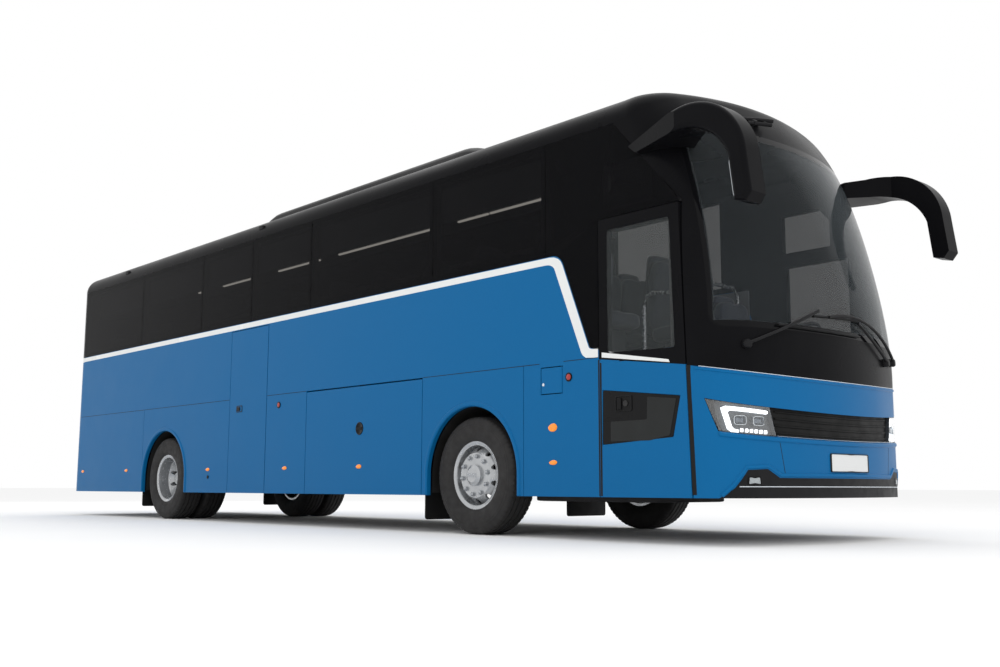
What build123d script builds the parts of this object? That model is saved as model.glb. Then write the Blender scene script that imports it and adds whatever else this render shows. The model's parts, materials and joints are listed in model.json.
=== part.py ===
from build123d import *
import math
import os

os.makedirs("parts", exist_ok=True)

# Two-axle touring coach. +X forward, +Y left, +Z up, standing on z = 0, millimetres.

# Overall sizes
WHEELBASE = 6065
FRONT_OVERHANG = 2925  # front axle to the middle of the nose
REAR_OVERHANG = 3060  # rear axle to the middle of the tail
MIRROR_REACH = 3160  # front axle to the foremost point of the mirrors
HALF_WIDTH = 1275
ROOF_Z = 3560  # roof crown on the centre line
ROOF_EDGE_DROP = 70  # fall of the crown out to the sides
CANTRAIL_R = 220  # rounding between side and roof

FRONT_AXLE_X = (WHEELBASE + REAR_OVERHANG - MIRROR_REACH) / 2
REAR_AXLE_X = FRONT_AXLE_X - WHEELBASE
NOSE_X = FRONT_AXLE_X + FRONT_OVERHANG
TAIL_X = REAR_AXLE_X - REAR_OVERHANG

# Heights
SILL_Z = 338  # lower edge of the side panels
MASK_Z = 1250  # where the nose starts to lean back
GLASS_Z = 1560  # foot of the windscreen
SEAM_Z = 1420  # joint between lower panels and waist panel
STRIPE_Z = 2235  # lower edge of the pale stripe
WAIST_Z = 2305  # upper edge of the stripe, foot of the side glass
CANT_Z = 3280  # joint between side and roof
FLOOR_Z = 1450  # passenger floor
PLATFORM_Z = 980  # driver's floor
HOLD_Z = 420  # luggage floor and lowest step

# Thicknesses and clearances
WALL = 60  # side wall, roof and nose
SKIN = 40  # lower panels and flaps
DOOR_T = 50
PANE = 8
SHUT = 8  # shut line round doors and flaps
DECK = 50  # passenger floor
PLATE = 25  # hold floor, steps, bulkheads
RUN = 0.05  # radial clearance of a pin in its bore
SEAT = 0.3  # clearance of faces that slide on each other
BED = 0.4  # clearance of a curved piece on the face that carries it

# Nose: horizontal sections from the mask up (height, setback, bow radius, corner radius)
NOSE_SECTIONS = [
    (MASK_Z, 0, 3200, 420),
    (2050, 85, 3100, 390),
    (2700, 250, 3000, 360),
    (CANT_Z, 490, 3000, 430),
    (ROOF_Z + 40, 720, 2900, 450),
]
TAIL_CORNER_R = 260

# Stations along the side
DOOR_FRONT_X = NOSE_X - 485  # front edge of the front door at its foot
DOOR_LEAN = 75  # how far that edge lies back at the door's head
DOOR_WIDTH = 890
DOOR_HEAD_Z = 2515
DOOR_REAR_X = DOOR_FRONT_X - DOOR_WIDTH
ARCH_HALF = 685  # half length of the panel round the front arch
ARCH_R = 602
MID_DOOR_FRONT_X = REAR_AXLE_X + 2545
MID_DOOR_WIDTH = 840
MID_DOOR_REAR_X = MID_DOOR_FRONT_X - MID_DOOR_WIDTH
MID_DOOR_HEAD_Z = STRIPE_Z - 13
FLAP_FRONT_X = FRONT_AXLE_X - ARCH_HALF
FLAP_REAR_X = MID_DOOR_FRONT_X + 830
TAIL_SEAM_X = REAR_AXLE_X - 635
ROOF_SEAM_X = NOSE_X - 1525  # joint between roof and nose
BROW_X = NOSE_X - 1205  # where the side glass meets the brow
BROW_Z = 2540  # where the pillar starts to lean back

# Wheels
TYRE_R = 515
TYRE_W = 295
BEAD_R = 288
TYRE_FACE_Y = 1235  # outer side wall of the outer tyres
TWIN_PITCH = 335
HUB_Z = TYRE_R
WHEEL_Y = TYRE_FACE_Y - TYRE_W / 2
KING_PIN_Y = 900


def corner_centre(reach, bow_r, corner_r, half_width):
    """Distance from the bow's centre to the corner's centre along X, and the tangent angle."""
    side = half_width - corner_r
    along = math.sqrt((bow_r - corner_r) ** 2 - side**2)
    return reach - bow_r + along, math.degrees(math.atan2(side, along))


def end_outline(reach, bow_r, corner_r, half_width, back_x):
    """Plan outline of an end of the body that points along +X: bow, two corners, two sides."""
    centre_x, angle = corner_centre(reach, bow_r, corner_r, half_width)
    side = half_width - corner_r
    with BuildLine() as wire:
        Line((back_x, -half_width), (centre_x, -half_width))
        CenterArc((centre_x, -side), corner_r, -90, 90 - angle)
        CenterArc((reach - bow_r, 0), bow_r, -angle, 2 * angle)
        CenterArc((centre_x, side), corner_r, angle, 90 - angle)
        Line((centre_x, half_width), (back_x, half_width))
        Line((back_x, half_width), (back_x, -half_width))
    make_face(wire.edges())


def crown_outline(inset, foot_z):
    """Cross section of the body under the roof crown, square at the cantrails."""
    half = HALF_WIDTH - inset
    edge_z = ROOF_Z - ROOF_EDGE_DROP - inset
    with BuildLine() as wire:
        Line((-half, foot_z), (-half, edge_z))
        ThreePointArc((-half, edge_z), (0, ROOF_Z - inset), (half, edge_z))
        Line((half, edge_z), (half, foot_z))
        Line((half, foot_z), (-half, foot_z))
    make_face(wire.edges())


def nose_body(inset):
    """Solid inside the nose above the mask, drawn in by the inset, with rounded roof edges."""
    back_x = ROOF_SEAM_X - inset
    with BuildPart() as body:
        for z, setback, bow_r, corner_r in NOSE_SECTIONS:
            with BuildSketch(Plane.XY.offset(z)):
                end_outline(NOSE_X - setback - inset, bow_r - inset, corner_r - inset,
                            HALF_WIDTH - inset, back_x)
        loft()
        with BuildSketch(Plane.YZ.offset(back_x)):
            crown_outline(inset, MASK_Z)
        extrude(amount=NOSE_X - back_x, mode=Mode.INTERSECT)
        rim = body.faces().sort_by(Axis.Z)[-1].edges()
        fillet(rim.filter_by(lambda edge: edge.center().X > back_x + 1), CANTRAIL_R - inset)
    return body.part


def nose_foot(inset):
    """Solid inside the nose below the mask."""
    with BuildPart() as body:
        with BuildSketch(Plane.XY.offset(SILL_Z)):
            _, _, bow_r, corner_r = NOSE_SECTIONS[0]
            end_outline(NOSE_X - inset, bow_r - inset, corner_r - inset,
                        HALF_WIDTH - inset, ROOF_SEAM_X - inset)
        extrude(amount=MASK_Z - SILL_Z)
    return body.part


def wall_plane(side, depth, thickness):
    """Side-view plane of a slab that lies that deep behind the body side (-1 right, +1 left)."""
    if side < 0:
        return Plane.XZ.offset(HALF_WIDTH - depth)
    return Plane.XZ.offset(-(HALF_WIDTH - depth - thickness))


def span(x0, x1, z0, z1, mode=Mode.ADD):
    """Rectangle between two stations and two heights."""
    with Locations(((x0 + x1) / 2, (z0 + z1) / 2)):
        Rectangle(x1 - x0, z1 - z0, mode=mode)


def block(x0, x1, y0, y1, z0, z1, mode=Mode.ADD):
    """Box between two corners."""
    with Locations(((x0 + x1) / 2, (y0 + y1) / 2, (z0 + z1) / 2)):
        Box(x1 - x0, y1 - y0, z1 - z0, mode=mode)


def beam(x0, x1, y0, y1, z0, z1):
    """Straight member or plate between two corners, as a solid of its own."""
    with BuildPart() as member:
        block(x0, x1, y0, y1, z0, z1)
    return member.part


def bored_plate(x0, x1, y0, y1, z0, z1, bore_x, bore_y):
    """Plate with the foot bearing of a door column bored through it."""
    with BuildPart() as plate:
        block(x0, x1, y0, y1, z0, z1)
        with BuildSketch(Plane(origin=(bore_x, bore_y, z1), z_dir=(0, 0, -1))):
            Circle(JOURNAL_R + RUN)
        extrude(amount=z1 - z0, mode=Mode.SUBTRACT)
    return plate.part


def outline(*points):
    """Face inside straight sides."""
    with BuildLine() as wire:
        Polyline(*points, close=True)
    make_face(wire.edges())


def side_prism(*points):
    """Prism right across the body over a side-view outline."""
    with BuildPart() as area:
        with BuildSketch(Plane.XZ):
            outline(*points)
        extrude(amount=HALF_WIDTH + 400, both=True)
    return area.part


SIDES = [("right", -1), ("left", 1)]


def write(part, name):
    part.label = name
    export_step(part, f"parts/{name}.step")


# Where the side ends and the tail cap starts
SIDE_END_X = TAIL_X + TAIL_CORNER_R


def seam_x(z):
    """Joint between nose and side, which leans back with the front door's edge."""
    return DOOR_FRONT_X - DOOR_LEAN * (z - SILL_Z) / (DOOR_HEAD_Z - SILL_Z)


# Lower panels and flaps
PANEL_JOINT = 6
FLAP_PIN_Y = HALF_WIDTH - SKIN / 2
FLAP_PIN_Z = SEAM_Z - SHUT - SKIN / 2
FLAP_PIN_R = 8
FLAP_PIN_L = 22  # length of a pin outside its flap
FUEL_X0 = FRONT_AXLE_X + 900
FUEL_X1 = FRONT_AXLE_X + 1140
FUEL_Z0 = 1170
FUEL_Z1 = 1380
FUEL_PIN_X = FUEL_X1 - SKIN / 2


def lower_panels(side):
    """Fixed lower panels of one side, with the arches and the bores of the flap pins."""
    arch_seam = FRONT_AXLE_X + ARCH_HALF
    with BuildPart() as skirt:
        with BuildSketch(wall_plane(side, 0, SKIN)):
            span(SIDE_END_X, TAIL_SEAM_X - PANEL_JOINT / 2, SILL_Z, SEAM_Z)
            span(FLAP_FRONT_X, arch_seam - PANEL_JOINT / 2, SILL_Z, SEAM_Z)
            if side < 0:
                span(TAIL_SEAM_X + PANEL_JOINT / 2, MID_DOOR_REAR_X - SHUT, SILL_Z, SEAM_Z)
                span(MID_DOOR_FRONT_X + SHUT, FLAP_REAR_X, SILL_Z, SEAM_Z)
                span(arch_seam + PANEL_JOINT / 2, DOOR_REAR_X - SHUT, SILL_Z, SEAM_Z)
                span(FUEL_X0 - SHUT, FUEL_X1 + SHUT, FUEL_Z0 - SHUT, FUEL_Z1 + SHUT, mode=Mode.SUBTRACT)
            else:
                span(TAIL_SEAM_X + PANEL_JOINT / 2, FLAP_REAR_X, SILL_Z, SEAM_Z)
                foot_x = arch_seam + PANEL_JOINT / 2
                outline((foot_x, SILL_Z), (seam_x(SILL_Z), SILL_Z), (seam_x(SEAM_Z), SEAM_Z),
                        (foot_x, SEAM_Z))
            for axle_x in (FRONT_AXLE_X, REAR_AXLE_X):
                with Locations((axle_x, HUB_Z)):
                    Circle(ARCH_R, mode=Mode.SUBTRACT)
                span(axle_x - ARCH_R, axle_x + ARCH_R, SILL_Z - 1, HUB_Z, mode=Mode.SUBTRACT)
        extrude(amount=-SKIN)
        for x, along in ((FLAP_FRONT_X, 1), (FLAP_REAR_X, -1)):
            with BuildSketch(Plane(origin=(x, side * FLAP_PIN_Y, FLAP_PIN_Z), z_dir=(along, 0, 0))):
                Circle(FLAP_PIN_R + RUN)
            extrude(amount=FLAP_PIN_L, mode=Mode.SUBTRACT)
        if side < 0:
            for z, along in ((FUEL_Z0 - SHUT, -1), (FUEL_Z1 + SHUT, 1)):
                with BuildSketch(Plane(origin=(FUEL_PIN_X, -FLAP_PIN_Y, z), z_dir=(0, 0, along))):
                    Circle(FLAP_PIN_R + RUN)
                extrude(amount=FLAP_PIN_L, mode=Mode.SUBTRACT)
    return skirt.part


def rolled_flap(plane, length, height, pin_plane):
    """Flap whose rolled edge turns on a pin that stands out at both ends."""
    with BuildPart() as flap:
        with BuildSketch(plane):
            Rectangle(length, height, align=(Align.MIN, Align.MIN))
        extrude(amount=-SKIN)
        with BuildSketch(pin_plane):
            Circle(SKIN / 2)
        extrude(amount=length)
        with BuildSketch(pin_plane.offset(-FLAP_PIN_L)):
            Circle(FLAP_PIN_R)
        extrude(amount=length + 2 * FLAP_PIN_L)
    return flap.part


for name, side in SIDES:
    write(lower_panels(side), f"skirt_{name}")
    flap_face = wall_plane(side, 0, SKIN)
    flap_corner = flap_face.origin + Vector(FLAP_REAR_X + SHUT, 0, SILL_Z)
    flap_foot = Plane(flap_corner, flap_face.x_dir, flap_face.z_dir)
    flap_pin = Plane(origin=(FLAP_REAR_X + SHUT, side * FLAP_PIN_Y, FLAP_PIN_Z), z_dir=(1, 0, 0))
    flap = rolled_flap(flap_foot, FLAP_FRONT_X - FLAP_REAR_X - 2 * SHUT, FLAP_PIN_Z - SILL_Z, flap_pin)
    write(flap, f"luggage_flap_{name}")

with BuildPart() as fuel_flap:
    with BuildSketch(wall_plane(-1, 0, SKIN)):
        span(FUEL_X0, FUEL_PIN_X, FUEL_Z0, FUEL_Z1)
    extrude(amount=-SKIN)
    fuel_pin = Plane(origin=(FUEL_PIN_X, -FLAP_PIN_Y, FUEL_Z0), z_dir=(0, 0, 1))
    with BuildSketch(fuel_pin):
        Circle(SKIN / 2)
    extrude(amount=FUEL_Z1 - FUEL_Z0)
    with BuildSketch(fuel_pin.offset(-FLAP_PIN_L)):
        Circle(FLAP_PIN_R)
    extrude(amount=FUEL_Z1 - FUEL_Z0 + 2 * FLAP_PIN_L)
write(fuel_flap.part, "fuel_flap")

# Door arms: a column in the doorway turns two arms, which carry the door parallel to the side
HINGE_Y = HALF_WIDTH - DOOR_T - 35  # pivot line of columns and door pins
COLUMN_R = 25
JOURNAL_R = 15
BEARING_H = 40
BEARING_W = 80
COLUMN_SETBACK = 140  # front edge of a doorway to its column
ARM_H = 40
ARM_W = 44
DOOR_PIN_R = 12
LUG_W = 50
LUG_H = 45
DOOR_GAP = 12  # shut line at the leading edge, where the door slides forward a little

# Door arms (name, station of the column, foot of its head bearing, arm reach, arm heights)
DOOR_COLUMN_X = seam_x(DOOR_HEAD_Z) - COLUMN_SETBACK
MID_COLUMN_X = MID_DOOR_FRONT_X - COLUMN_SETBACK
BEARING_RISE = 12
DOOR_ARMS = [
    ("front_door_arms", DOOR_COLUMN_X, DOOR_HEAD_Z + SHUT + BEARING_RISE, 600, (620, 2420)),
    ("mid_door_arms", MID_COLUMN_X, MID_DOOR_HEAD_Z + SHUT + BEARING_RISE, 560, (620, 2100)),
]
FRONT_PIN_X = DOOR_COLUMN_X - DOOR_ARMS[0][3]
MID_PIN_X = MID_COLUMN_X - DOOR_ARMS[1][3]


def column_bearing(x, z):
    """Bearing block on the wall that holds the head of a door column."""
    reach = BEARING_W / 2
    block(x - reach, x + reach, -(HALF_WIDTH - WALL), -(HINGE_Y - reach), z, z + BEARING_H)
    with BuildSketch(Plane(origin=(x, -HINGE_Y, z), z_dir=(0, 0, 1))) as bore:
        Circle(JOURNAL_R + RUN)
    extrude(bore.sketch, amount=BEARING_H, mode=Mode.SUBTRACT)


def door_lugs(pin_x, heights):
    """Lugs on the inside of a door, bored for the pins of its arms."""
    for z in heights:
        block(pin_x - LUG_W / 2, pin_x + LUG_W / 2, -(HALF_WIDTH - DOOR_T), -(HINGE_Y - LUG_W / 2),
              z - LUG_H - SEAT, z - SEAT)
        with BuildSketch(Plane(origin=(pin_x, -HINGE_Y, z - LUG_H - SEAT), z_dir=(0, 0, 1))) as bore:
            Circle(DOOR_PIN_R + RUN)
        extrude(bore.sketch, amount=LUG_H, mode=Mode.SUBTRACT)


for name, column_x, bearing_z, reach, heights in DOOR_ARMS:
    pin_x = column_x - reach
    with BuildPart() as door_arms:
        with BuildSketch(Plane(origin=(column_x, -HINGE_Y, HOLD_Z + SEAT), z_dir=(0, 0, 1))):
            Circle(COLUMN_R)
        extrude(amount=bearing_z - HOLD_Z - 2 * SEAT)
        with BuildSketch(Plane(origin=(column_x, -HINGE_Y, HOLD_Z - PLATE), z_dir=(0, 0, 1))):
            Circle(JOURNAL_R)
        extrude(amount=bearing_z + BEARING_H - HOLD_Z + PLATE)
        for z in heights:
            block(pin_x, column_x, -HINGE_Y - ARM_W / 2, -HINGE_Y + ARM_W / 2, z, z + ARM_H)
            with BuildSketch(Plane(origin=(pin_x, -HINGE_Y, z), z_dir=(0, 0, 1))):
                Circle(ARM_W / 2)
            extrude(amount=ARM_H)
            with BuildSketch(Plane(origin=(pin_x, -HINGE_Y, z - LUG_H), z_dir=(0, 0, 1))):
                Circle(DOOR_PIN_R)
            extrude(amount=LUG_H)
    write(door_arms.part, name)

# Front door: frame with a flush pane, and a shallow recess round the handle
DOOR_PANE_Z0 = 1370
DOOR_PANE_MARGIN = 14  # rim of the door round its pane
PANE_LAND = 30  # width of the ledge that a pane is bonded to
DOOR_LAND = 66  # the same round the front door's pane
RECESS_D = 12
RECESS = [(30, 1162), (794, 1077), (723, 776), (24, 736)]  # from the door's rear edge


def door_pane(margin):
    """Outline of the front door's pane, drawn in by a margin."""
    foot_z = DOOR_PANE_Z0 + margin
    head_z = DOOR_HEAD_Z - DOOR_PANE_MARGIN - margin
    rear_x = DOOR_REAR_X + DOOR_PANE_MARGIN + margin
    front = DOOR_GAP + DOOR_PANE_MARGIN + margin
    outline((rear_x, foot_z), (seam_x(foot_z) - front, foot_z), (seam_x(head_z) - front, head_z),
            (rear_x, head_z))


with BuildPart() as front_door:
    with BuildSketch(wall_plane(-1, 0, DOOR_T)):
        outline((DOOR_REAR_X, SILL_Z), (seam_x(SILL_Z) - DOOR_GAP, SILL_Z),
                (seam_x(DOOR_HEAD_Z) - DOOR_GAP, DOOR_HEAD_Z), (DOOR_REAR_X, DOOR_HEAD_Z))
    extrude(amount=-DOOR_T)
    with BuildSketch(wall_plane(-1, 0, PANE)):
        door_pane(0)
    extrude(amount=-PANE, mode=Mode.SUBTRACT)
    with BuildSketch(wall_plane(-1, 0, DOOR_T)):
        door_pane(DOOR_LAND)
    extrude(amount=-DOOR_T, mode=Mode.SUBTRACT)
    with BuildSketch(wall_plane(-1, 0, RECESS_D)):
        outline(*[(DOOR_REAR_X + along, z) for along, z in RECESS])
    extrude(amount=-RECESS_D, mode=Mode.SUBTRACT)
    door_lugs(FRONT_PIN_X, DOOR_ARMS[0][4])
write(front_door.part, "front_door")

with BuildPart() as front_door_glass:
    with BuildSketch(wall_plane(-1, 0, PANE)):
        door_pane(BED)
    extrude(amount=-PANE)
write(front_door_glass.part, "front_door_glass")

with BuildPart() as mid_door:
    with BuildSketch(wall_plane(-1, 0, DOOR_T)):
        span(MID_DOOR_REAR_X, MID_DOOR_FRONT_X - DOOR_GAP + SHUT, SILL_Z, MID_DOOR_HEAD_Z)
    extrude(amount=-DOOR_T)
    door_lugs(MID_PIN_X, DOOR_ARMS[1][4])
write(mid_door.part, "mid_door")

# Waist panels, with the slanted front end that the pale stripe runs down
SLANT_TOP = (FRONT_AXLE_X + 1122, WAIST_Z)
SLANT_FOOT = (FRONT_AXLE_X + 1448, 1503)
SLANT_TOE = (DOOR_REAR_X - SHUT, 1480)
SLANT_R = 136  # rounding at the top of the slant

for name, side in SIDES:
    with BuildPart() as waist_panel:
        with BuildSketch(wall_plane(side, 0, WALL)) as waist_view:
            outline((SIDE_END_X, SEAM_Z), (SLANT_TOE[0], SEAM_Z), SLANT_TOE, SLANT_FOOT, SLANT_TOP,
                    (SIDE_END_X, WAIST_Z))
            fillet(waist_view.vertices().sort_by_distance(SLANT_TOP)[0], SLANT_R)
            if side < 0:
                span(MID_DOOR_REAR_X - SHUT, MID_DOOR_FRONT_X + SHUT, SEAM_Z - 1, MID_DOOR_HEAD_Z + SHUT,
                     mode=Mode.SUBTRACT)
        extrude(amount=-WALL)
        if side < 0:
            column_bearing(MID_COLUMN_X, DOOR_ARMS[1][2])
    write(waist_panel.part, f"waist_panel_{name}")

# Window frames behind flush panes
WINDOW_MARGIN = 55  # pillar behind each edge of a pane
PANE_JOINTS = [SIDE_END_X, TAIL_SEAM_X - 200, REAR_AXLE_X + 900, MID_DOOR_REAR_X + 430,
               FLAP_REAR_X + 25, FRONT_AXLE_X - 560, FRONT_AXLE_X + 950]
HEAD_Z = DOOR_HEAD_Z + SHUT  # foot of the glass over the front door
BROW_SEAM = [(seam_x(HEAD_Z), HEAD_Z), (seam_x(BROW_Z), BROW_Z), (BROW_X, CANT_Z)]
LIGHT_X0 = DOOR_REAR_X + 60
LIGHT_X1 = DOOR_FRONT_X - 330
LIGHT_Z0 = HEAD_Z + 70
LIGHT_Z1 = CANT_Z - 330


def front_side_outline(side, start_x):
    """Side glass area from a station forward, down to the driver's window on the left."""
    foot = [SLANT_TOP, SLANT_FOOT, SLANT_TOE]
    if side < 0:
        foot += [(SLANT_TOE[0], HEAD_Z)]
    else:
        foot += [(SLANT_TOE[0], SEAM_Z), (seam_x(SEAM_Z), SEAM_Z)]
    return [(start_x, WAIST_Z)] + foot + BROW_SEAM + [(start_x, CANT_Z)]


with BuildPart() as side_windows:
    for _, side in SIDES:
        with BuildSketch(wall_plane(side, 0, PANE)) as pane_view:
            for x0, x1 in zip(PANE_JOINTS, PANE_JOINTS[1:]):
                span(x0 + PANEL_JOINT / 2, x1 - PANEL_JOINT / 2, WAIST_Z, CANT_Z)
            outline(*front_side_outline(side, PANE_JOINTS[-1] + PANEL_JOINT / 2))
            fillet(pane_view.vertices().sort_by_distance(SLANT_TOP)[0], SLANT_R)
        extrude(amount=-PANE)
write(side_windows.part, "side_windows")

for name, side in SIDES:
    with BuildPart() as window_frame:
        with BuildSketch(wall_plane(side, PANE, WALL - PANE)) as frame_view:
            outline(*front_side_outline(side, SIDE_END_X))
            fillet(frame_view.vertices().sort_by_distance(SLANT_TOP)[0], SLANT_R)
            for x0, x1 in zip(PANE_JOINTS, PANE_JOINTS[1:]):
                span(x0 + WINDOW_MARGIN, x1 - WINDOW_MARGIN, WAIST_Z + WINDOW_MARGIN, CANT_Z - WINDOW_MARGIN,
                     mode=Mode.SUBTRACT)
            span(LIGHT_X0, LIGHT_X1, LIGHT_Z0, LIGHT_Z1, mode=Mode.SUBTRACT)
            if side > 0:
                span(DOOR_REAR_X + 90, DOOR_FRONT_X - 160, SEAM_Z + 60, DOOR_HEAD_Z - 60, mode=Mode.SUBTRACT)
        extrude(amount=-(WALL - PANE))
        if side < 0:
            column_bearing(DOOR_COLUMN_X, DOOR_ARMS[0][2])
    write(window_frame.part, f"window_frame_{name}")

# Roof
with BuildPart() as roof_shell:
    with BuildSketch(Plane.YZ.offset(SIDE_END_X)) as roof_section:
        crown_outline(0, CANT_Z)
        fillet(roof_section.vertices().group_by(Axis.Y)[-1], CANTRAIL_R)
        with BuildSketch(Plane.XY, mode=Mode.PRIVATE) as roof_inside:
            crown_outline(WALL, CANT_Z - 1)
            fillet(roof_inside.vertices().group_by(Axis.Y)[-1], CANTRAIL_R - WALL)
        add(roof_inside.sketch, mode=Mode.SUBTRACT)
    extrude(amount=ROOF_SEAM_X - SIDE_END_X)
write(roof_shell.part, "roof_shell")

# Climate fairing on the roof: side profile cut to the crown
POD_REAR_X = REAR_AXLE_X + 1500
POD_FRONT_X = FRONT_AXLE_X + 60
POD_TOP_Z = 3770
POD_BACK_L = 60  # length of its rear slope
POD_RAMP_L = 900  # length of its front slope
POD_HALF = 930
POD_EDGE_R = 70

with BuildPart() as roof_pod:
    with BuildSketch(Plane.XZ):
        outline((POD_REAR_X, ROOF_Z - ROOF_EDGE_DROP), (POD_REAR_X + POD_BACK_L, POD_TOP_Z),
                (POD_FRONT_X - POD_RAMP_L, POD_TOP_Z), (POD_FRONT_X, ROOF_Z - ROOF_EDGE_DROP))
    extrude(amount=POD_HALF, both=True)
    fillet(roof_pod.faces().sort_by(Axis.Z)[-1].edges().filter_by(Axis.X), POD_EDGE_R)
    with BuildSketch(Plane.YZ.offset(POD_REAR_X - 1)):
        crown_outline(-BED, SILL_Z)
    extrude(amount=POD_FRONT_X - POD_REAR_X + 2, mode=Mode.SUBTRACT)
write(roof_pod.part, "roof_pod")

# Nose: lines round the front fall towards its middle (height at the middle, rise per distance back)
MASK_LINE = (1204, 0.167)  # foot of the black mask
BAND_LINE = (960, 0.22)  # foot of the painted band, head of lamps and grille
LAMP_LINE = (758, 0.164)  # foot of lamps and grille
LAMP_HEAD_D = 395  # outer end of a lamp at its head, back from the nose
LAMP_FOOT_D = 313
LAMP_INNER_Y = 820  # inner end of a lamp at half height
LAMP_INNER_LEAN = 0.256
LAMP_MID_Z = 880
GRILLE_SET = 30  # grille behind the skin
FRONT_X = NOSE_X + 300  # clear ahead of the nose
NOSE_DEPTH = 900  # how far back the front-view cuts reach
# Upper edge of the black lip, from the middle out (y, z): it rises over the fog lamps and ends at the sill
LIP_EDGE = [(775, 482), (881, 545), (1041, 537), (1125, 410), (1200, SILL_Z)]
SCREEN_FOOT_D = 360  # side edge of the windscreen, back from the nose
SCREEN_MID = (452, 2375)
SCREEN_HEAD = (700, 3190)
SCREEN_R = 110

nose_clear = nose_body(-BED)


def nose_solid(inset):
    """Whole nose drawn in by the inset, from the sill to the roof."""
    with BuildPart() as body:
        add(nose_body(inset))
        add(nose_foot(inset))
    return body.part


def line_point(line, x):
    """Side-view point of a line of the front at a station."""
    return (x, line[0] + line[1] * (NOSE_X - x))


def line_rear(line):
    """Side-view point where a line of the front meets the seam with the side."""
    lean = DOOR_LEAN / (DOOR_HEAD_Z - SILL_Z)
    z = (line[0] + line[1] * (NOSE_X - DOOR_FRONT_X - lean * SILL_Z)) / (1 - line[1] * lean)
    return (seam_x(z), z)


def front_prism(*points):
    """Prism over a front-view outline, from behind the nose's corners to ahead of it."""
    with BuildPart() as area:
        with BuildSketch(Plane.YZ.offset(NOSE_X - NOSE_DEPTH)):
            outline(*points)
        extrude(amount=FRONT_X - NOSE_X + NOSE_DEPTH)
    return area.part


nose_skin = nose_solid(0)
nose_inside = nose_solid(WALL)
surround_area = side_prism(line_rear(MASK_LINE), *BROW_SEAM[1:], (ROOF_SEAM_X, CANT_Z),
                           (ROOF_SEAM_X, ROOF_Z + WALL), (FRONT_X, ROOF_Z + WALL),
                           line_point(MASK_LINE, FRONT_X))
band_area = side_prism(line_rear(BAND_LINE), line_point(BAND_LINE, FRONT_X), line_point(MASK_LINE, FRONT_X),
                       line_rear(MASK_LINE))
bumper_area = side_prism((seam_x(SILL_Z), SILL_Z), (FRONT_X, SILL_Z), line_point(BAND_LINE, FRONT_X),
                         line_rear(BAND_LINE))
lamp_area = side_prism(line_point(LAMP_LINE, NOSE_X - LAMP_FOOT_D), line_point(LAMP_LINE, FRONT_X),
                       line_point(BAND_LINE, FRONT_X), line_point(BAND_LINE, NOSE_X - LAMP_HEAD_D))
lip_area = front_prism(*LIP_EDGE, *[(-y, z) for y, z in reversed(LIP_EDGE)])
grille_foot_y = LAMP_INNER_Y - LAMP_INNER_LEAN * (LAMP_MID_Z - SILL_Z)
grille_head_y = LAMP_INNER_Y + LAMP_INNER_LEAN * (MASK_Z - LAMP_MID_Z)
grille_area = front_prism((-grille_foot_y, SILL_Z), (grille_foot_y, SILL_Z), (grille_head_y, MASK_Z),
                          (-grille_head_y, MASK_Z))

with BuildPart() as screen_area:
    with BuildSketch(Plane.XZ) as screen_view:
        with BuildLine():
            screen_foot = (NOSE_X - SCREEN_FOOT_D, GLASS_Z)
            screen_mid = (NOSE_X - SCREEN_MID[0], SCREEN_MID[1])
            screen_head = (NOSE_X - SCREEN_HEAD[0], SCREEN_HEAD[1])
            ThreePointArc(screen_foot, screen_mid, screen_head)
            Polyline(screen_head, (FRONT_X, SCREEN_HEAD[1]), (FRONT_X, GLASS_Z), screen_foot)
        make_face()
        fillet(screen_view.vertices().sort_by_distance(screen_foot)[0], SCREEN_R)
    extrude(amount=HALF_WIDTH, both=True)

with BuildPart() as windscreen_surround:
    add(nose_skin)
    add(nose_inside, mode=Mode.SUBTRACT)
    add(surround_area, mode=Mode.INTERSECT)
    add(screen_area.part, mode=Mode.SUBTRACT)
write(windscreen_surround.part, "windscreen_surround")

with BuildPart() as windscreen:
    add(nose_body(0))
    add(nose_body(PANE), mode=Mode.SUBTRACT)
    add(screen_area.part, mode=Mode.INTERSECT)
write(windscreen.part, "windscreen")

with BuildPart() as front_band:
    add(nose_skin)
    add(nose_inside, mode=Mode.SUBTRACT)
    add(band_area, mode=Mode.INTERSECT)
write(front_band.part, "front_band")

with BuildPart() as front_wall:
    add(nose_skin)
    add(nose_inside, mode=Mode.SUBTRACT)
    add(bumper_area, mode=Mode.INTERSECT)

with BuildPart() as front_bumper:
    add(front_wall.part)
    add(lip_area, mode=Mode.SUBTRACT)
    add(lamp_area, mode=Mode.SUBTRACT)
write(front_bumper.part, "front_bumper")

with BuildPart() as bumper_lip:
    add(front_wall.part)
    add(lip_area, mode=Mode.INTERSECT)
write(bumper_lip.part, "bumper_lip")

with BuildPart() as headlamps:
    add(front_wall.part)
    add(lamp_area, mode=Mode.INTERSECT)
    add(grille_area, mode=Mode.SUBTRACT)
write(headlamps.part, "headlamps")

with BuildPart() as grille:
    add(nose_foot(GRILLE_SET))
    add(nose_foot(WALL), mode=Mode.SUBTRACT)
    add(lamp_area, mode=Mode.INTERSECT)
    add(grille_area, mode=Mode.INTERSECT)
write(grille.part, "grille")

# Tail: cap with rounded corners, engine lid, window and lamps
LID_HALF = 820
LID_Z0 = 560
LID_PIN_Z = 1480
TAIL_GLASS_HALF = 900
TAIL_GLASS_Z0 = 2380
TAIL_GLASS_Z1 = 3180
TAIL_LAMP_Y0 = 865
TAIL_LAMP_Y1 = 985
TAIL_LAMP_Z0 = 880
TAIL_LAMP_Z1 = 1440
LAMP_DEPTH = 20
LID_PIN_X = TAIL_X + SKIN / 2
TAIL_BOW_R = 120000
TAIL_OVERLAP = 100  # cap body runs on ahead before it is cut to the side's end


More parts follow.
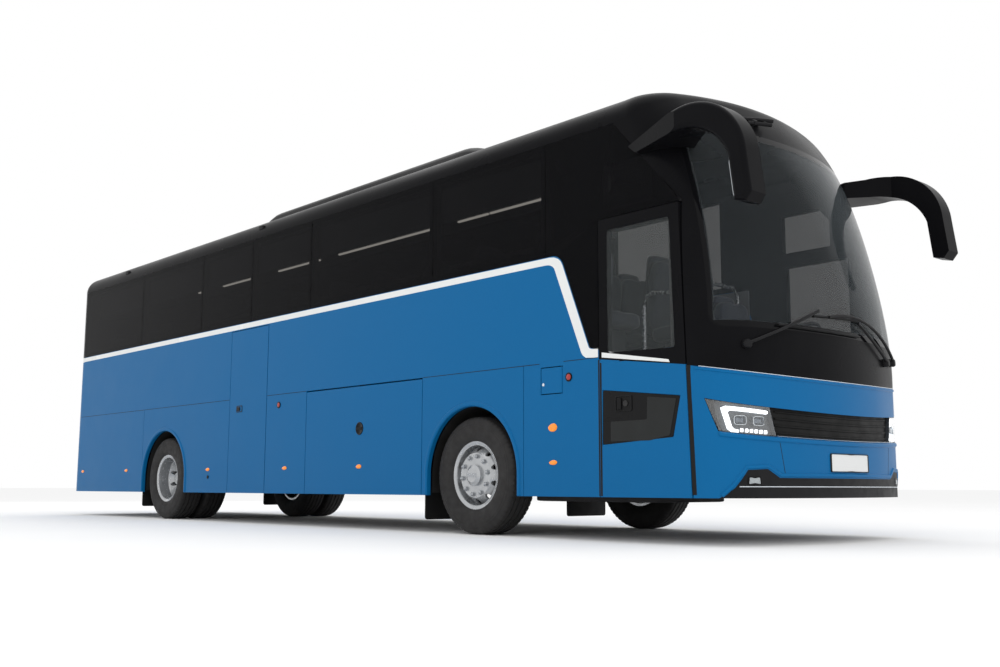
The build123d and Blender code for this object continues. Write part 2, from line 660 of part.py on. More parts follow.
def tail_body(inset):
    """Solid inside the tail cap, drawn in by the inset, with rounded roof edges."""
    front_x = SIDE_END_X + TAIL_OVERLAP
    with BuildPart() as body:
        with BuildSketch(Plane(origin=(0, 0, SILL_Z), x_dir=(-1, 0, 0), z_dir=(0, 0, 1))):
            end_outline(-TAIL_X - inset, TAIL_BOW_R - inset, TAIL_CORNER_R - inset, HALF_WIDTH - inset,
                        -front_x)
        extrude(amount=ROOF_Z + ROOF_EDGE_DROP - SILL_Z)
        with BuildSketch(Plane.YZ.offset(front_x)):
            crown_outline(inset, SILL_Z)
        extrude(amount=TAIL_X - TAIL_OVERLAP - front_x, mode=Mode.INTERSECT)
        rim = body.faces().sort_by(Axis.Z)[-1].edges()
        fillet(rim.filter_by(lambda edge: edge.center().X < front_x - 1), CANTRAIL_R - inset)
    return body.part


tail_skin = tail_body(0)
tail_inside = tail_body(WALL)

with BuildPart() as rear_panel:
    add(tail_skin)
    add(tail_inside, mode=Mode.SUBTRACT)
    block(TAIL_X, SIDE_END_X, -HALF_WIDTH, HALF_WIDTH, SILL_Z, ROOF_Z, mode=Mode.INTERSECT)
    block(TAIL_X, TAIL_X + WALL, -LID_HALF, LID_HALF, LID_Z0, LID_PIN_Z + SKIN / 2 + SHUT, mode=Mode.SUBTRACT)
    for y, along in ((-LID_HALF, -1), (LID_HALF, 1)):
        with BuildSketch(Plane(origin=(LID_PIN_X, y, LID_PIN_Z), z_dir=(0, along, 0))):
            Circle(FLAP_PIN_R + RUN)
        extrude(amount=FLAP_PIN_L, mode=Mode.SUBTRACT)
    block(TAIL_X, TAIL_X + PANE, -TAIL_GLASS_HALF, TAIL_GLASS_HALF, TAIL_GLASS_Z0, TAIL_GLASS_Z1,
          mode=Mode.SUBTRACT)
    block(TAIL_X, TAIL_X + WALL, PANE_LAND - TAIL_GLASS_HALF, TAIL_GLASS_HALF - PANE_LAND,
          TAIL_GLASS_Z0 + PANE_LAND, TAIL_GLASS_Z1 - PANE_LAND, mode=Mode.SUBTRACT)
    for y0, y1 in ((TAIL_LAMP_Y0, TAIL_LAMP_Y1), (-TAIL_LAMP_Y1, -TAIL_LAMP_Y0)):
        block(TAIL_X, TAIL_X + LAMP_DEPTH, y0 - BED, y1 + BED, TAIL_LAMP_Z0 - BED, TAIL_LAMP_Z1 + BED,
              mode=Mode.SUBTRACT)
write(rear_panel.part, "rear_panel")

with BuildPart() as rear_window:
    block(TAIL_X, TAIL_X + PANE, BED - TAIL_GLASS_HALF, TAIL_GLASS_HALF - BED, TAIL_GLASS_Z0 + BED,
          TAIL_GLASS_Z1 - BED)
write(rear_window.part, "rear_window")

with BuildPart() as tail_lamps:
    for y0, y1 in ((TAIL_LAMP_Y0, TAIL_LAMP_Y1), (-TAIL_LAMP_Y1, -TAIL_LAMP_Y0)):
        block(TAIL_X, TAIL_X + LAMP_DEPTH, y0, y1, TAIL_LAMP_Z0, TAIL_LAMP_Z1)
write(tail_lamps.part, "tail_lamps")

lid_edge = LID_HALF - SHUT
lid_foot = Plane(origin=(TAIL_X, lid_edge, LID_Z0 + SHUT), x_dir=(0, -1, 0), z_dir=(-1, 0, 0))
lid_pin = Plane(origin=(LID_PIN_X, lid_edge, LID_PIN_Z), z_dir=(0, -1, 0))
write(rolled_flap(lid_foot, 2 * lid_edge, LID_PIN_Z - LID_Z0 - SHUT, lid_pin), "engine_lid")

# Chassis: front and rear sub-frames joined by the luggage hold
FRAME_Z0 = 640
FRAME_Z1 = 800
RAIL_Y0 = 400
RAIL_Y1 = 480
DECK_FOOT_Z = FLOOR_Z - DECK
TRAY_CLEAR = 6  # hold floor to the inside of the doors
TRAY_HALF = HALF_WIDTH - DOOR_T - TRAY_CLEAR
WHEEL_CLEAR = 100  # wheel arch to the bulkheads
HOLD_FRONT_X = FRONT_AXLE_X - ARCH_R - WHEEL_CLEAR
HOLD_REAR_X = REAR_AXLE_X + ARCH_R + WHEEL_CLEAR
WHEELHOUSE_X = REAR_AXLE_X - ARCH_R - WHEEL_CLEAR
FRAME_FRONT_X = NOSE_X - 300
FRAME_REAR_X = TAIL_X + 300
CROSS_W = 80
JACK_W = 120  # jacking socket under the end cross members
JACK_H = 60
JACK_BORE_R = 21
JACK_BORE_L = 45


def jack_socket(x):
    """Block under a cross member with a blind bore for the head of a jack."""
    with BuildPart() as socket:
        block(x - JACK_W / 2, x + JACK_W / 2, -JACK_W / 2, JACK_W / 2, FRAME_Z0 - JACK_H, FRAME_Z0)
        with BuildSketch(Plane(origin=(x, 0, FRAME_Z0 - JACK_H), z_dir=(0, 0, 1))):
            Circle(JACK_BORE_R)
        extrude(amount=JACK_BORE_L, mode=Mode.SUBTRACT)
    return socket.part


members = [bored_plate(HOLD_REAR_X, HOLD_FRONT_X, -TRAY_HALF, TRAY_HALF, HOLD_Z - PLATE, HOLD_Z,
                       MID_COLUMN_X, -HINGE_Y)]
for x0 in (HOLD_REAR_X, HOLD_FRONT_X - PLATE):
    members.append(beam(x0, x0 + PLATE, -TRAY_HALF, TRAY_HALF, HOLD_Z, DECK_FOOT_Z))
members.append(beam(WHEELHOUSE_X - PLATE, WHEELHOUSE_X, -TRAY_HALF, TRAY_HALF, FRAME_Z1, DECK_FOOT_Z))
for y0, y1 in ((RAIL_Y0, RAIL_Y1), (-RAIL_Y1, -RAIL_Y0)):
    members.append(beam(HOLD_FRONT_X, FRAME_FRONT_X, y0, y1, FRAME_Z0, FRAME_Z1))
    members.append(beam(FRAME_REAR_X, HOLD_REAR_X, y0, y1, FRAME_Z0, FRAME_Z1))
for x0 in (FRAME_FRONT_X - CROSS_W, FRONT_AXLE_X + ARCH_R, FRAME_REAR_X):
    members.append(beam(x0, x0 + CROSS_W, -RAIL_Y0, RAIL_Y0, FRAME_Z0, FRAME_Z1))
members.append(jack_socket(FRAME_FRONT_X - CROSS_W / 2))
members.append(jack_socket(FRAME_REAR_X + CROSS_W / 2))
write(Compound(children=members), "chassis_frame")

# Floors and steps
FLOOR_HALF = HALF_WIDTH - WALL
AISLE_Y = -500  # left side of the entry
STAIR_Y = -400  # left side of the middle steps
DECK_FRONT_X = DOOR_REAR_X - 250
TREAD = 200
STEP_SIDE = 80  # column to the end of the treads
MID_RISERS = 4
ENTRY_RISERS = 2
NOSE_CLEAR_X = NOSE_X - 520  # platform end at full width
PLATFORM_TIP_X = NOSE_X - 230
PLATFORM_TIP_Y = 900


def flight(x0, x1, y_end, z0, rise, steps):
    """Steps that climb towards +Y, each as deep as all those above it."""
    return [beam(x0, x1, y_end - TREAD * (steps - step), y_end, z0 + rise * step, z0 + rise * (step + 1))
            for step in range(steps)]


members = []
for x0, x1, right_y in ((SIDE_END_X, MID_DOOR_REAR_X, -FLOOR_HALF),
                        (MID_DOOR_REAR_X, MID_DOOR_FRONT_X, STAIR_Y),
                        (MID_DOOR_FRONT_X, DECK_FRONT_X, -FLOOR_HALF)):
    members.append(beam(x0, x1, right_y, FLOOR_HALF, DECK_FOOT_Z, FLOOR_Z))
members.append(beam(MID_DOOR_REAR_X - PLATE, MID_DOOR_FRONT_X + PLATE, STAIR_Y, STAIR_Y + PLATE,
                    HOLD_Z, DECK_FOOT_Z))
for x0 in (MID_DOOR_REAR_X - PLATE, MID_DOOR_FRONT_X):
    members.append(beam(x0, x0 + PLATE, -FLOOR_HALF, STAIR_Y, HOLD_Z, DECK_FOOT_Z))
members += flight(MID_DOOR_REAR_X, MID_COLUMN_X - STEP_SIDE, STAIR_Y, HOLD_Z,
                  (FLOOR_Z - HOLD_Z) / MID_RISERS, MID_RISERS - 1)
members.append(beam(DECK_FRONT_X - PLATE, DECK_FRONT_X, AISLE_Y, FLOOR_HALF, PLATFORM_Z - PLATE, DECK_FOOT_Z))
for x0, x1, left_y in ((DECK_FRONT_X, NOSE_CLEAR_X, FLOOR_HALF),
                       (NOSE_CLEAR_X, PLATFORM_TIP_X, PLATFORM_TIP_Y)):
    members.append(beam(x0, x1, AISLE_Y, left_y, PLATFORM_Z - PLATE, PLATFORM_Z))
members.append(beam(DECK_FRONT_X, DECK_FRONT_X + TREAD, AISLE_Y, -AISLE_Y / 2,
                    PLATFORM_Z, (PLATFORM_Z + FLOOR_Z) / 2))
members.append(bored_plate(DOOR_REAR_X, NOSE_CLEAR_X, -FLOOR_HALF, AISLE_Y, HOLD_Z - PLATE, HOLD_Z,
                           DOOR_COLUMN_X, -HINGE_Y))
members += flight(DOOR_REAR_X, DOOR_COLUMN_X - STEP_SIDE, AISLE_Y, HOLD_Z,
                  (PLATFORM_Z - HOLD_Z) / ENTRY_RISERS, ENTRY_RISERS)
for x in (DECK_FRONT_X + CROSS_W, NOSE_CLEAR_X - CROSS_W):
    for y0, y1 in ((RAIL_Y0, RAIL_Y1), (-RAIL_Y1, -RAIL_Y0)):
        members.append(beam(x, x + CROSS_W, y0, y1, FRAME_Z1, PLATFORM_Z - PLATE))
write(Compound(children=members), "floor_deck")

# Engine, one closed block on the rear frame
ENGINE_X = FRAME_REAR_X + 60  # rear end of the engine
ENGINE_L = 1350
ENGINE_HALF = 520
ENGINE_GAP = 20  # under the floor
with BuildPart() as engine_block:
    block(ENGINE_X, ENGINE_X + ENGINE_L, -ENGINE_HALF, ENGINE_HALF, FRAME_Z1, DECK_FOOT_Z - ENGINE_GAP)
write(engine_block.part, "engine_block")

# Driver's place
DRIVER_Y = 560
RIM_CENTRE = Vector(NOSE_X - 800, DRIVER_Y, 1680)
COLUMN_TILT = 28  # steering column from upright
RIM_R = 225
RIM_T = 16
SHAFT_R = 14
HUB_H = 50
COLUMN_T = 34
COLUMN_L = 500
DASH_FRONT_X = NOSE_X - 240
DASH_REAR_X = NOSE_X - 640
DASH_RIGHT_Y = -400
DASH_LEFT_Y = 880
DASH_Z = 1545
column_dir = Vector(math.sin(math.radians(COLUMN_TILT)), 0, -math.cos(math.radians(COLUMN_TILT)))
column_plane = Plane(origin=RIM_CENTRE, x_dir=(0, 1, 0), z_dir=column_dir)

with BuildPart() as dashboard:
    with BuildSketch(Plane.XZ.offset(-DASH_LEFT_Y)):
        outline((DASH_REAR_X + 120, PLATFORM_Z), (DASH_FRONT_X, PLATFORM_Z), (DASH_FRONT_X, DASH_Z - 40),
                (DASH_FRONT_X - 160, DASH_Z), (DASH_REAR_X, DASH_Z - 90), (DASH_REAR_X + 60, DASH_Z - 230))
    extrude(amount=DASH_LEFT_Y - DASH_RIGHT_Y)
    with BuildSketch(column_plane.offset(HUB_H)):
        Circle(COLUMN_T)
    extrude(amount=COLUMN_L)
    with BuildSketch(column_plane):
        Circle(SHAFT_R)
    extrude(amount=HUB_H)
write(dashboard.part, "dashboard")

with BuildPart() as steering_wheel:
    with BuildSketch(Plane(origin=RIM_CENTRE, x_dir=(0, 1, 0), z_dir=column_plane.y_dir)):
        with Locations((RIM_R, 0)):
            RegularPolygon(RIM_T, 8)
    revolve(axis=Axis(RIM_CENTRE, column_dir))
    with BuildSketch(column_plane.offset(-HUB_H / 2)):
        Circle(COLUMN_T + 16)
        with PolarLocations(0, 3, start_angle=90):
            with Locations((RIM_R / 2, 0)):
                Rectangle(RIM_R, 36)
    extrude(amount=HUB_H / 2 - 6)
    with BuildSketch(column_plane.offset(-HUB_H / 2)):
        Circle(COLUMN_T)
    extrude(amount=HUB_H / 2 + HUB_H - SEAT)
    with BuildSketch(column_plane.offset(-SEAT)):
        Circle(SHAFT_R + RUN)
    extrude(amount=HUB_H + 1, mode=Mode.SUBTRACT)
write(steering_wheel.part, "steering_wheel")

# Side view of a seat: pedestal, cushion, back rest (distance ahead of the back's foot, height)
SEAT_PROFILE = [(150, 0), (380, 0), (380, 300), (500, 330), (500, 440), (170, 420), (60, 1140), (-50, 1150),
                (40, 330), (150, 300)]


def seat_block(rear_x, floor_z, y0, y1):
    """Seat on its pedestal, back rest towards the tail."""
    with BuildSketch(Plane.XZ.offset(-y1)) as profile:
        outline(*[(rear_x + along, floor_z + up) for along, up in SEAT_PROFILE])
    extrude(profile.sketch, amount=y1 - y0)


DRIVER_SEAT_X = RIM_CENTRE.X - 760
DRIVER_SEAT_W = 520
with BuildPart() as driver_seat:
    seat_block(DRIVER_SEAT_X, PLATFORM_Z, DRIVER_Y - DRIVER_SEAT_W / 2, DRIVER_Y + DRIVER_SEAT_W / 2)
write(driver_seat.part, "driver_seat")

ROW_PITCH = 800
BENCH_Y0 = 280
BENCH_Y1 = 1190
FIRST_ROW_X = DECK_FRONT_X - 620
LAST_ROW_X = SIDE_END_X + 150
ROWS = int((FIRST_ROW_X - LAST_ROW_X) // ROW_PITCH) + 1

with BuildPart() as passenger_seats:
    for row in range(ROWS):
        row_x = FIRST_ROW_X - row * ROW_PITCH
        seat_block(row_x, FLOOR_Z, BENCH_Y0, BENCH_Y1)
        if row_x + 600 < MID_DOOR_REAR_X or row_x - 150 > MID_DOOR_FRONT_X:
            seat_block(row_x, FLOOR_Z, -BENCH_Y1, -BENCH_Y0)
write(passenger_seats.part, "passenger_seats")

# Mirrors: arms that reach forward from the brow and bend down into the heads
MIRROR_Y0 = 1325
MIRROR_Y1 = 1520
MIRROR_ROOT_X = NOSE_X - 1035
MIRROR_TIP_X = FRONT_AXLE_X + MIRROR_REACH
MIRROR_FOOT_Z = 2340
MIRROR_H = 820
MIRROR_EDGE_R = 36
MIRROR_IN_Y = HALF_WIDTH - 200  # inner end of the arm, buried in the brow
# Plan of the right mirror: it leaves the brow and swings out (distance ahead of the root, distance out)
MIRROR_L = MIRROR_TIP_X - MIRROR_ROOT_X
MIRROR_PLAN = [(0, MIRROR_IN_Y), (0, HALF_WIDTH + 20), (640, MIRROR_Y1), (MIRROR_L, MIRROR_Y1),
               (MIRROR_L, MIRROR_Y0), (780, MIRROR_Y0), (470, MIRROR_IN_Y)]


def mirror_outline():
    """Side view of a mirror: flat arm, bend, hanging head."""
    root, tip, foot = MIRROR_ROOT_X, MIRROR_TIP_X, MIRROR_FOOT_Z
    with BuildLine() as wire:
        Line((root, foot + 700), (root + 610, foot + 785))
        ThreePointArc((root + 610, foot + 785), (root + 1060, foot + 690), (tip - 40, foot + 360))
        Line((tip - 40, foot + 360), (tip, foot + 60))
        Line((tip, foot + 60), (tip - 50, foot))
        Line((tip - 50, foot), (tip - 140, foot + 20))
        Line((tip - 140, foot + 20), (tip - 180, foot + 340))
        ThreePointArc((tip - 180, foot + 340), (root + 940, foot + 540), (root + 630, foot + 625))
        Line((root + 630, foot + 625), (root + 110, foot + 620))
        Line((root + 110, foot + 620), (root, foot + 700))
    make_face(wire.edges())


with BuildPart() as mirrors:
    for side in (-1, 1):
        near, far = sorted((side * MIRROR_IN_Y, side * MIRROR_Y1))
        with BuildPart(mode=Mode.PRIVATE) as mirror:
            with BuildSketch(Plane.XZ.offset(-far)):
                mirror_outline()
            extrude(amount=far - near)
            outer_face = mirror.faces().sort_by(Axis.Y)[-1 if side > 0 else 0]
            fillet(outer_face.edges(), MIRROR_EDGE_R)
            with BuildSketch(Plane.XY.offset(MIRROR_FOOT_Z)):
                outline(*[(MIRROR_ROOT_X + along, side * y) for along, y in MIRROR_PLAN])
            extrude(amount=MIRROR_H, mode=Mode.INTERSECT)
        add(mirror.part)
    add(nose_clear, mode=Mode.SUBTRACT)
write(mirrors.part, "mirrors")

# Wipers follow the curve of the windscreen (pivot y, pivot z, tip y, tip z)
WIPERS = [(-760, 1470, 250, 1640), (800, 1420, -60, 1720)]
WIPER_W = 34
WIPER_T = 24
with BuildPart() as wipers:
    add(nose_body(-WIPER_T))
    add(nose_clear, mode=Mode.SUBTRACT)
    with BuildSketch(Plane.YZ.offset(NOSE_X - 500)):
        for y0, z0, y1, z1 in WIPERS:
            length = math.hypot(y1 - y0, z1 - z0)
            angle = math.degrees(math.atan2(z1 - z0, y1 - y0))
            with Locations(Location((y0, z0), angle)):
                Rectangle(length, WIPER_W, align=(Align.MIN, Align.CENTER))
    extrude(amount=FRONT_X - NOSE_X + 500, mode=Mode.INTERSECT)
write(wipers.part, "wipers")

# Side lamps on the fixed lower panels (station, height)
SIDE_LAMPS = [
    (FRONT_AXLE_X + 1027, 892),
    (FRONT_AXLE_X + 1031, 610),
    (MID_DOOR_FRONT_X + 420, 611),
    (MID_DOOR_REAR_X - 496, 613),
    (TAIL_SEAM_X - 494, 623),
    (SIDE_END_X + 165, 623),
]
LAMP_L = 110
LAMP_H = 46
LAMP_T = 8
with BuildPart() as marker_lamps:
    for x, z in SIDE_LAMPS:
        for y0 in (-HALF_WIDTH - LAMP_T, HALF_WIDTH):
            block(x - LAMP_L / 2, x + LAMP_L / 2, y0, y0 + LAMP_T, z - LAMP_H / 2, z + LAMP_H / 2)
write(marker_lamps.part, "marker_lamps")

# Mud flaps hang behind the wheels
MUD_T = 12
MUD_Z = 220
with BuildPart() as mud_flaps:
    for x0, inner_y, top_z in ((HOLD_FRONT_X, 930, 700), (WHEELHOUSE_X, 600, 860)):
        for side in (-1, 1):
            y0, y1 = sorted((side * inner_y, side * TRAY_HALF))
            block(x0, x0 + MUD_T, y0, y1, MUD_Z, top_z)
write(mud_flaps.part, "mud_flaps")

# Front axle, knuckles and wheels
BEAM_Z0 = HUB_Z - 50
BEAM_Z1 = HUB_Z + 45
BEAM_W = 90
BAG_R = 120
BAG_Y = (RAIL_Y0 + RAIL_Y1) / 2
BOSS_R = 50
BOSS_H = 140
PIN_R = 22
EAR_H = 34
WEB_Y0 = 58
WEB_Y1 = 90
SPINDLE_R = 40
SPINDLE_END = 95  # spindle's reach past the wheel's centre plane

with BuildPart() as front_axle:
    block(FRONT_AXLE_X - BEAM_W / 2, FRONT_AXLE_X + BEAM_W / 2, -KING_PIN_Y, KING_PIN_Y, BEAM_Z0, BEAM_Z1)
    for side in (-1, 1):
        with BuildSketch(Plane((FRONT_AXLE_X, side * KING_PIN_Y, HUB_Z - BOSS_H / 2))):
            Circle(BOSS_R)
        extrude(amount=BOSS_H)
        with BuildSketch(Plane(origin=(FRONT_AXLE_X, side * BAG_Y, BEAM_Z0), z_dir=(0, 0, 1))):
            Circle(BAG_R)
        extrude(amount=FRAME_Z0 - BEAM_Z0)
    for side in (-1, 1):
        with BuildSketch(Plane((FRONT_AXLE_X, side * KING_PIN_Y, HUB_Z - BOSS_H / 2))):
            Circle(PIN_R + RUN)
        extrude(amount=BOSS_H, mode=Mode.SUBTRACT)
write(front_axle.part, "front_axle")


def axle_plane(axle_x, side):
    """Half plane through an axle: local x is the radius, local y points out to that side."""
    return Plane(origin=(axle_x, 0, HUB_Z), x_dir=(0, 0, 1), z_dir=(-side, 0, 0))


for name, side in SIDES:
    with BuildPart() as knuckle:
        ear_z = BOSS_H / 2 + SEAT
        for z in (HUB_Z - ear_z - EAR_H, HUB_Z + ear_z):
            with BuildSketch(Plane(origin=(FRONT_AXLE_X, side * KING_PIN_Y, z), z_dir=(0, 0, 1))):
                Circle(BOSS_R)
                with Locations((0, side * WEB_Y1 / 2)):
                    Rectangle(2 * BOSS_R, WEB_Y1)
            extrude(amount=EAR_H)
        y0, y1 = sorted((side * (KING_PIN_Y + WEB_Y0), side * (KING_PIN_Y + WEB_Y1)))
        yoke_z0, yoke_z1 = HUB_Z - ear_z - EAR_H, HUB_Z + ear_z + EAR_H
        block(FRONT_AXLE_X - BOSS_R, FRONT_AXLE_X + BOSS_R, y0, y1, yoke_z0, yoke_z1)
        with BuildSketch(Plane((FRONT_AXLE_X, side * KING_PIN_Y, yoke_z0))):
            Circle(PIN_R)
        extrude(amount=2 * (ear_z + EAR_H))
        web_face = (FRONT_AXLE_X, side * (KING_PIN_Y + WEB_Y1), HUB_Z)
        with BuildSketch(Plane(web_face, z_dir=(0, side, 0))):
            Circle(SPINDLE_R)
        extrude(amount=WHEEL_Y + SPINDLE_END - KING_PIN_Y - WEB_Y1)
    write(knuckle.part, f"knuckle_{name}")

# Tyres and rims: profiles turned about the axle (radius, distance out from the wheel's centre plane)
TREAD_HALF = 125
SHOULDER_R = 498
BARREL_T = 24
BARREL_HALF = 112
HUB_R = 110
DISC_T = 24
BOLT_R = 196  # flat of the disc that is bolted to the hub
DISC_OUT = 100  # inside of the front disc's flat
DISC_ROOT = 15  # where the disc meets the barrel
HAND_HOLES = 10
HAND_HOLE_R = 24
HAND_RING_R = 229
CAP_R = 92
CAP_OUT = 168
HUB_IN = -70


def tyre_profile(centre):
    """Half section of a tyre: tread, shoulders, side walls, bore."""
    half = TYRE_W / 2
    outline((BEAD_R, centre - half + 30), (SHOULDER_R, centre - half), (TYRE_R, centre - TREAD_HALF),
            (TYRE_R, centre + TREAD_HALF), (SHOULDER_R, centre + half), (BEAD_R, centre + half - 30))


def barrel_profile(centre):
    """Rim barrel under a tyre."""
    rim_r = BEAD_R - BED
    outline((rim_r - BARREL_T, centre - BARREL_HALF), (rim_r, centre - BARREL_HALF),
            (rim_r, centre + BARREL_HALF), (rim_r - BARREL_T, centre + BARREL_HALF))


def disc_profile(root, flat, thick):
    """Dished disc from the barrel to its bolted flat."""
    rim_r = BEAD_R - BED - BARREL_T + 2
    outline((rim_r, root), (rim_r, root + thick), (BOLT_R, flat + thick), (HUB_R - 20, flat + thick),
            (HUB_R - 20, flat), (BOLT_R, flat))


for name, side in SIDES:
    turn = Axis((FRONT_AXLE_X, 0, HUB_Z), (0, 1, 0))
    with BuildPart() as front_tyre:
        with BuildSketch(axle_plane(FRONT_AXLE_X, side)):
            tyre_profile(WHEEL_Y)
        revolve(axis=turn)
    write(front_tyre.part, f"front_tyre_{name}")
    with BuildPart() as front_wheel:
        with BuildSketch(axle_plane(FRONT_AXLE_X, side)):
            barrel_profile(WHEEL_Y)
            disc_profile(WHEEL_Y + DISC_ROOT, WHEEL_Y + DISC_OUT, DISC_T)
            outline((SPINDLE_R + RUN, WHEEL_Y + HUB_IN), (HUB_R, WHEEL_Y + HUB_IN),
                    (HUB_R, WHEEL_Y + DISC_OUT + 2),
                    (CAP_R, WHEEL_Y + DISC_OUT + DISC_T), (CAP_R, WHEEL_Y + CAP_OUT - 20),
                    (CAP_R - 30, WHEEL_Y + CAP_OUT), (0, WHEEL_Y + CAP_OUT),
                    (0, WHEEL_Y + SPINDLE_END + SEAT),
                    (SPINDLE_R + RUN, WHEEL_Y + SPINDLE_END + SEAT))
        revolve(axis=turn)
        hole_face = (FRONT_AXLE_X, side * (WHEEL_Y + DISC_ROOT - 40), HUB_Z)
        hole_plane = Plane(hole_face, z_dir=(0, side, 0))
        with BuildSketch(hole_plane):
            with PolarLocations(HAND_RING_R, HAND_HOLES):
                Circle(HAND_HOLE_R)
        extrude(amount=DISC_OUT + DISC_T + 40, mode=Mode.SUBTRACT)
    write(front_wheel.part, f"front_wheel_{name}")

# Rear axle with twin wheels
TWIN_Y = WHEEL_Y - TWIN_PITCH
TWIN_MID = (WHEEL_Y + TWIN_Y) / 2
HOUSING_R = 75
HOUSING_END = 610
DIFF_R = 190
DIFF_HALF = 150
REAR_SPINDLE_R = 55
REAR_SPINDLE_Y = 1030

with BuildPart() as rear_axle:
    with BuildSketch(Plane.XZ):
        with Locations((REAR_AXLE_X, HUB_Z)):
            Circle(REAR_SPINDLE_R)
    extrude(amount=REAR_SPINDLE_Y, both=True)
    with BuildSketch(Plane.XZ):
        with Locations((REAR_AXLE_X, HUB_Z)):
            Circle(HOUSING_R)
    extrude(amount=HOUSING_END, both=True)
    with BuildSketch(Plane.XZ):
        with Locations((REAR_AXLE_X, HUB_Z)):
            Circle(DIFF_R)
    extrude(amount=DIFF_HALF, both=True)
    for side in (-1, 1):
        with BuildSketch(Plane(origin=(REAR_AXLE_X, side * BAG_Y, HUB_Z), z_dir=(0, 0, 1))):
            Circle(BAG_R)
        extrude(amount=FRAME_Z0 - HUB_Z)
write(rear_axle.part, "rear_axle")

for name, side in SIDES:
    turn = Axis((REAR_AXLE_X, 0, HUB_Z), (0, 1, 0))
    with BuildPart() as rear_tyres:
        with BuildSketch(axle_plane(REAR_AXLE_X, side)):
            tyre_profile(WHEEL_Y)
            tyre_profile(TWIN_Y)
        revolve(axis=turn)
    write(rear_tyres.part, f"rear_tyres_{name}")
    with BuildPart() as rear_wheels:
        with BuildSketch(axle_plane(REAR_AXLE_X, side)):
            barrel_profile(WHEEL_Y)
            barrel_profile(TWIN_Y)
            disc_profile(WHEEL_Y - DISC_ROOT - DISC_T, TWIN_MID, DISC_T)
            disc_profile(TWIN_Y + DISC_ROOT, TWIN_MID - DISC_T, DISC_T)
            outline((REAR_SPINDLE_R + RUN, HOUSING_END + SEAT), (HUB_R, HOUSING_END + SEAT),
                    (HUB_R, TWIN_MID + 60),
                    (CAP_R, TWIN_MID + 120), (CAP_R - 20, REAR_SPINDLE_Y + 50), (0, REAR_SPINDLE_Y + 50),
                    (0, REAR_SPINDLE_Y + SEAT), (REAR_SPINDLE_R + RUN, REAR_SPINDLE_Y + SEAT))
        revolve(axis=turn)
        hole_plane = Plane(origin=(REAR_AXLE_X, side * TWIN_Y, HUB_Z), z_dir=(0, side, 0))
        with BuildSketch(hole_plane):
            with PolarLocations(HAND_RING_R, HAND_HOLES):
                Circle(HAND_HOLE_R)
        extrude(amount=TWIN_PITCH, mode=Mode.SUBTRACT)
    write(rear_wheels.part, f"rear_wheels_{name}")
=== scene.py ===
import json
import bmesh
import bpy
import numpy as np
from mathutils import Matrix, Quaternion, Vector


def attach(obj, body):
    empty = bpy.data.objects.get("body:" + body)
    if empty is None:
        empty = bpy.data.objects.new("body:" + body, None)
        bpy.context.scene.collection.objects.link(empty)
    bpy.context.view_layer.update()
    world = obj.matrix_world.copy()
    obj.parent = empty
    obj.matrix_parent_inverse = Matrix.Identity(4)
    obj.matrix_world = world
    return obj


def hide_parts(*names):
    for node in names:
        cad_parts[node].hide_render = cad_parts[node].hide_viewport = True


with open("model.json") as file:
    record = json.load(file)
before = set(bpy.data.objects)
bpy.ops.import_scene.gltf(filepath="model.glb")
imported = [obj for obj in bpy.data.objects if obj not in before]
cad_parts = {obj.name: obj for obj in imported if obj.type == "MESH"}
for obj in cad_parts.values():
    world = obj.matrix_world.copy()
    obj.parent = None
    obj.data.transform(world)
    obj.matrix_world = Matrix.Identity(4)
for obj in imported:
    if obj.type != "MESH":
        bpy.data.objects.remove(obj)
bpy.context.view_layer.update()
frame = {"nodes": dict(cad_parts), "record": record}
print("frame loaded")

# Stations of the coach in metres, the same as the frame's
coach = {"frontAxle": 2.9825, "rearAxle": -3.0825, "hub": 0.515, "wheelY": 1.0875, "twinY": 0.7525,
         "noseX": 5.9075, "tailX": -6.1425, "sideEnd": -5.8825, "doorRear": 4.5325,
         "halfWidth": 1.275, "roof": 3.56, "sill": 0.345}
# Lower nose: radii and arc lengths of bow and corner, and lines as height at the nose and rise per metre
# back
nose = {"bowR": 3.2, "cornerR": 0.42, "bowHalf": 1.0004, "cornerLen": 0.5284, "maskLine": (1.204, 0.167),
        "bandLine": (0.960, 0.22), "lampLine": (0.758, 0.164), "footLine": (0.4195, 0.0)}
fax, rax = coach["frontAxle"], coach["rearAxle"]
shut = 9.0  # drawn in by more than any outline measures, so that a ring closes at the middle


# Surface tools


def noseMap(s, z, out):
    # Lower nose: s turns through bow and corner from the middle and runs on back, out is the distance off
    # the skin
    far = np.abs(s)
    bow = np.minimum(far, nose["bowHalf"]) / nose["bowR"]
    corner = np.clip(far - nose["bowHalf"], 0, nose["cornerLen"]) / nose["cornerR"]
    back = np.maximum(far - nose["bowHalf"] - nose["cornerLen"], 0)
    reach, arm = nose["bowR"] - nose["cornerR"], nose["cornerR"] + out
    x = coach["noseX"] - nose["bowR"] + reach * np.cos(bow) + arm * np.cos(bow + corner) - back
    y = np.sign(s) * (reach * np.sin(bow) + arm * np.sin(bow + corner))
    return np.stack(np.broadcast_arrays(x, y, z), -1)


def noseHeight(s, line):
    # Height of a line of the front: it rises with the distance back from the nose
    start, rise = nose[line]
    return start + rise * (coach["noseX"] - noseMap(s, 0 * s, 0 * s)[..., 0])


def rightMap(x, z, out):
    # Right body side: out is the distance off the skin
    return np.stack(np.broadcast_arrays(x, -coach["halfWidth"] - out, z), -1)


def mirrored(patch):
    # The same patch on the other side
    return patch * np.array([1, -1, 1])


def leftMap(x, z, out):
    # Left body side: the right one mirrored
    return mirrored(rightMap(x, z, out))


def tailMap(y, z, out):
    # Flat of the tail
    return np.stack(np.broadcast_arrays(coach["tailX"] - out, y, z), -1)


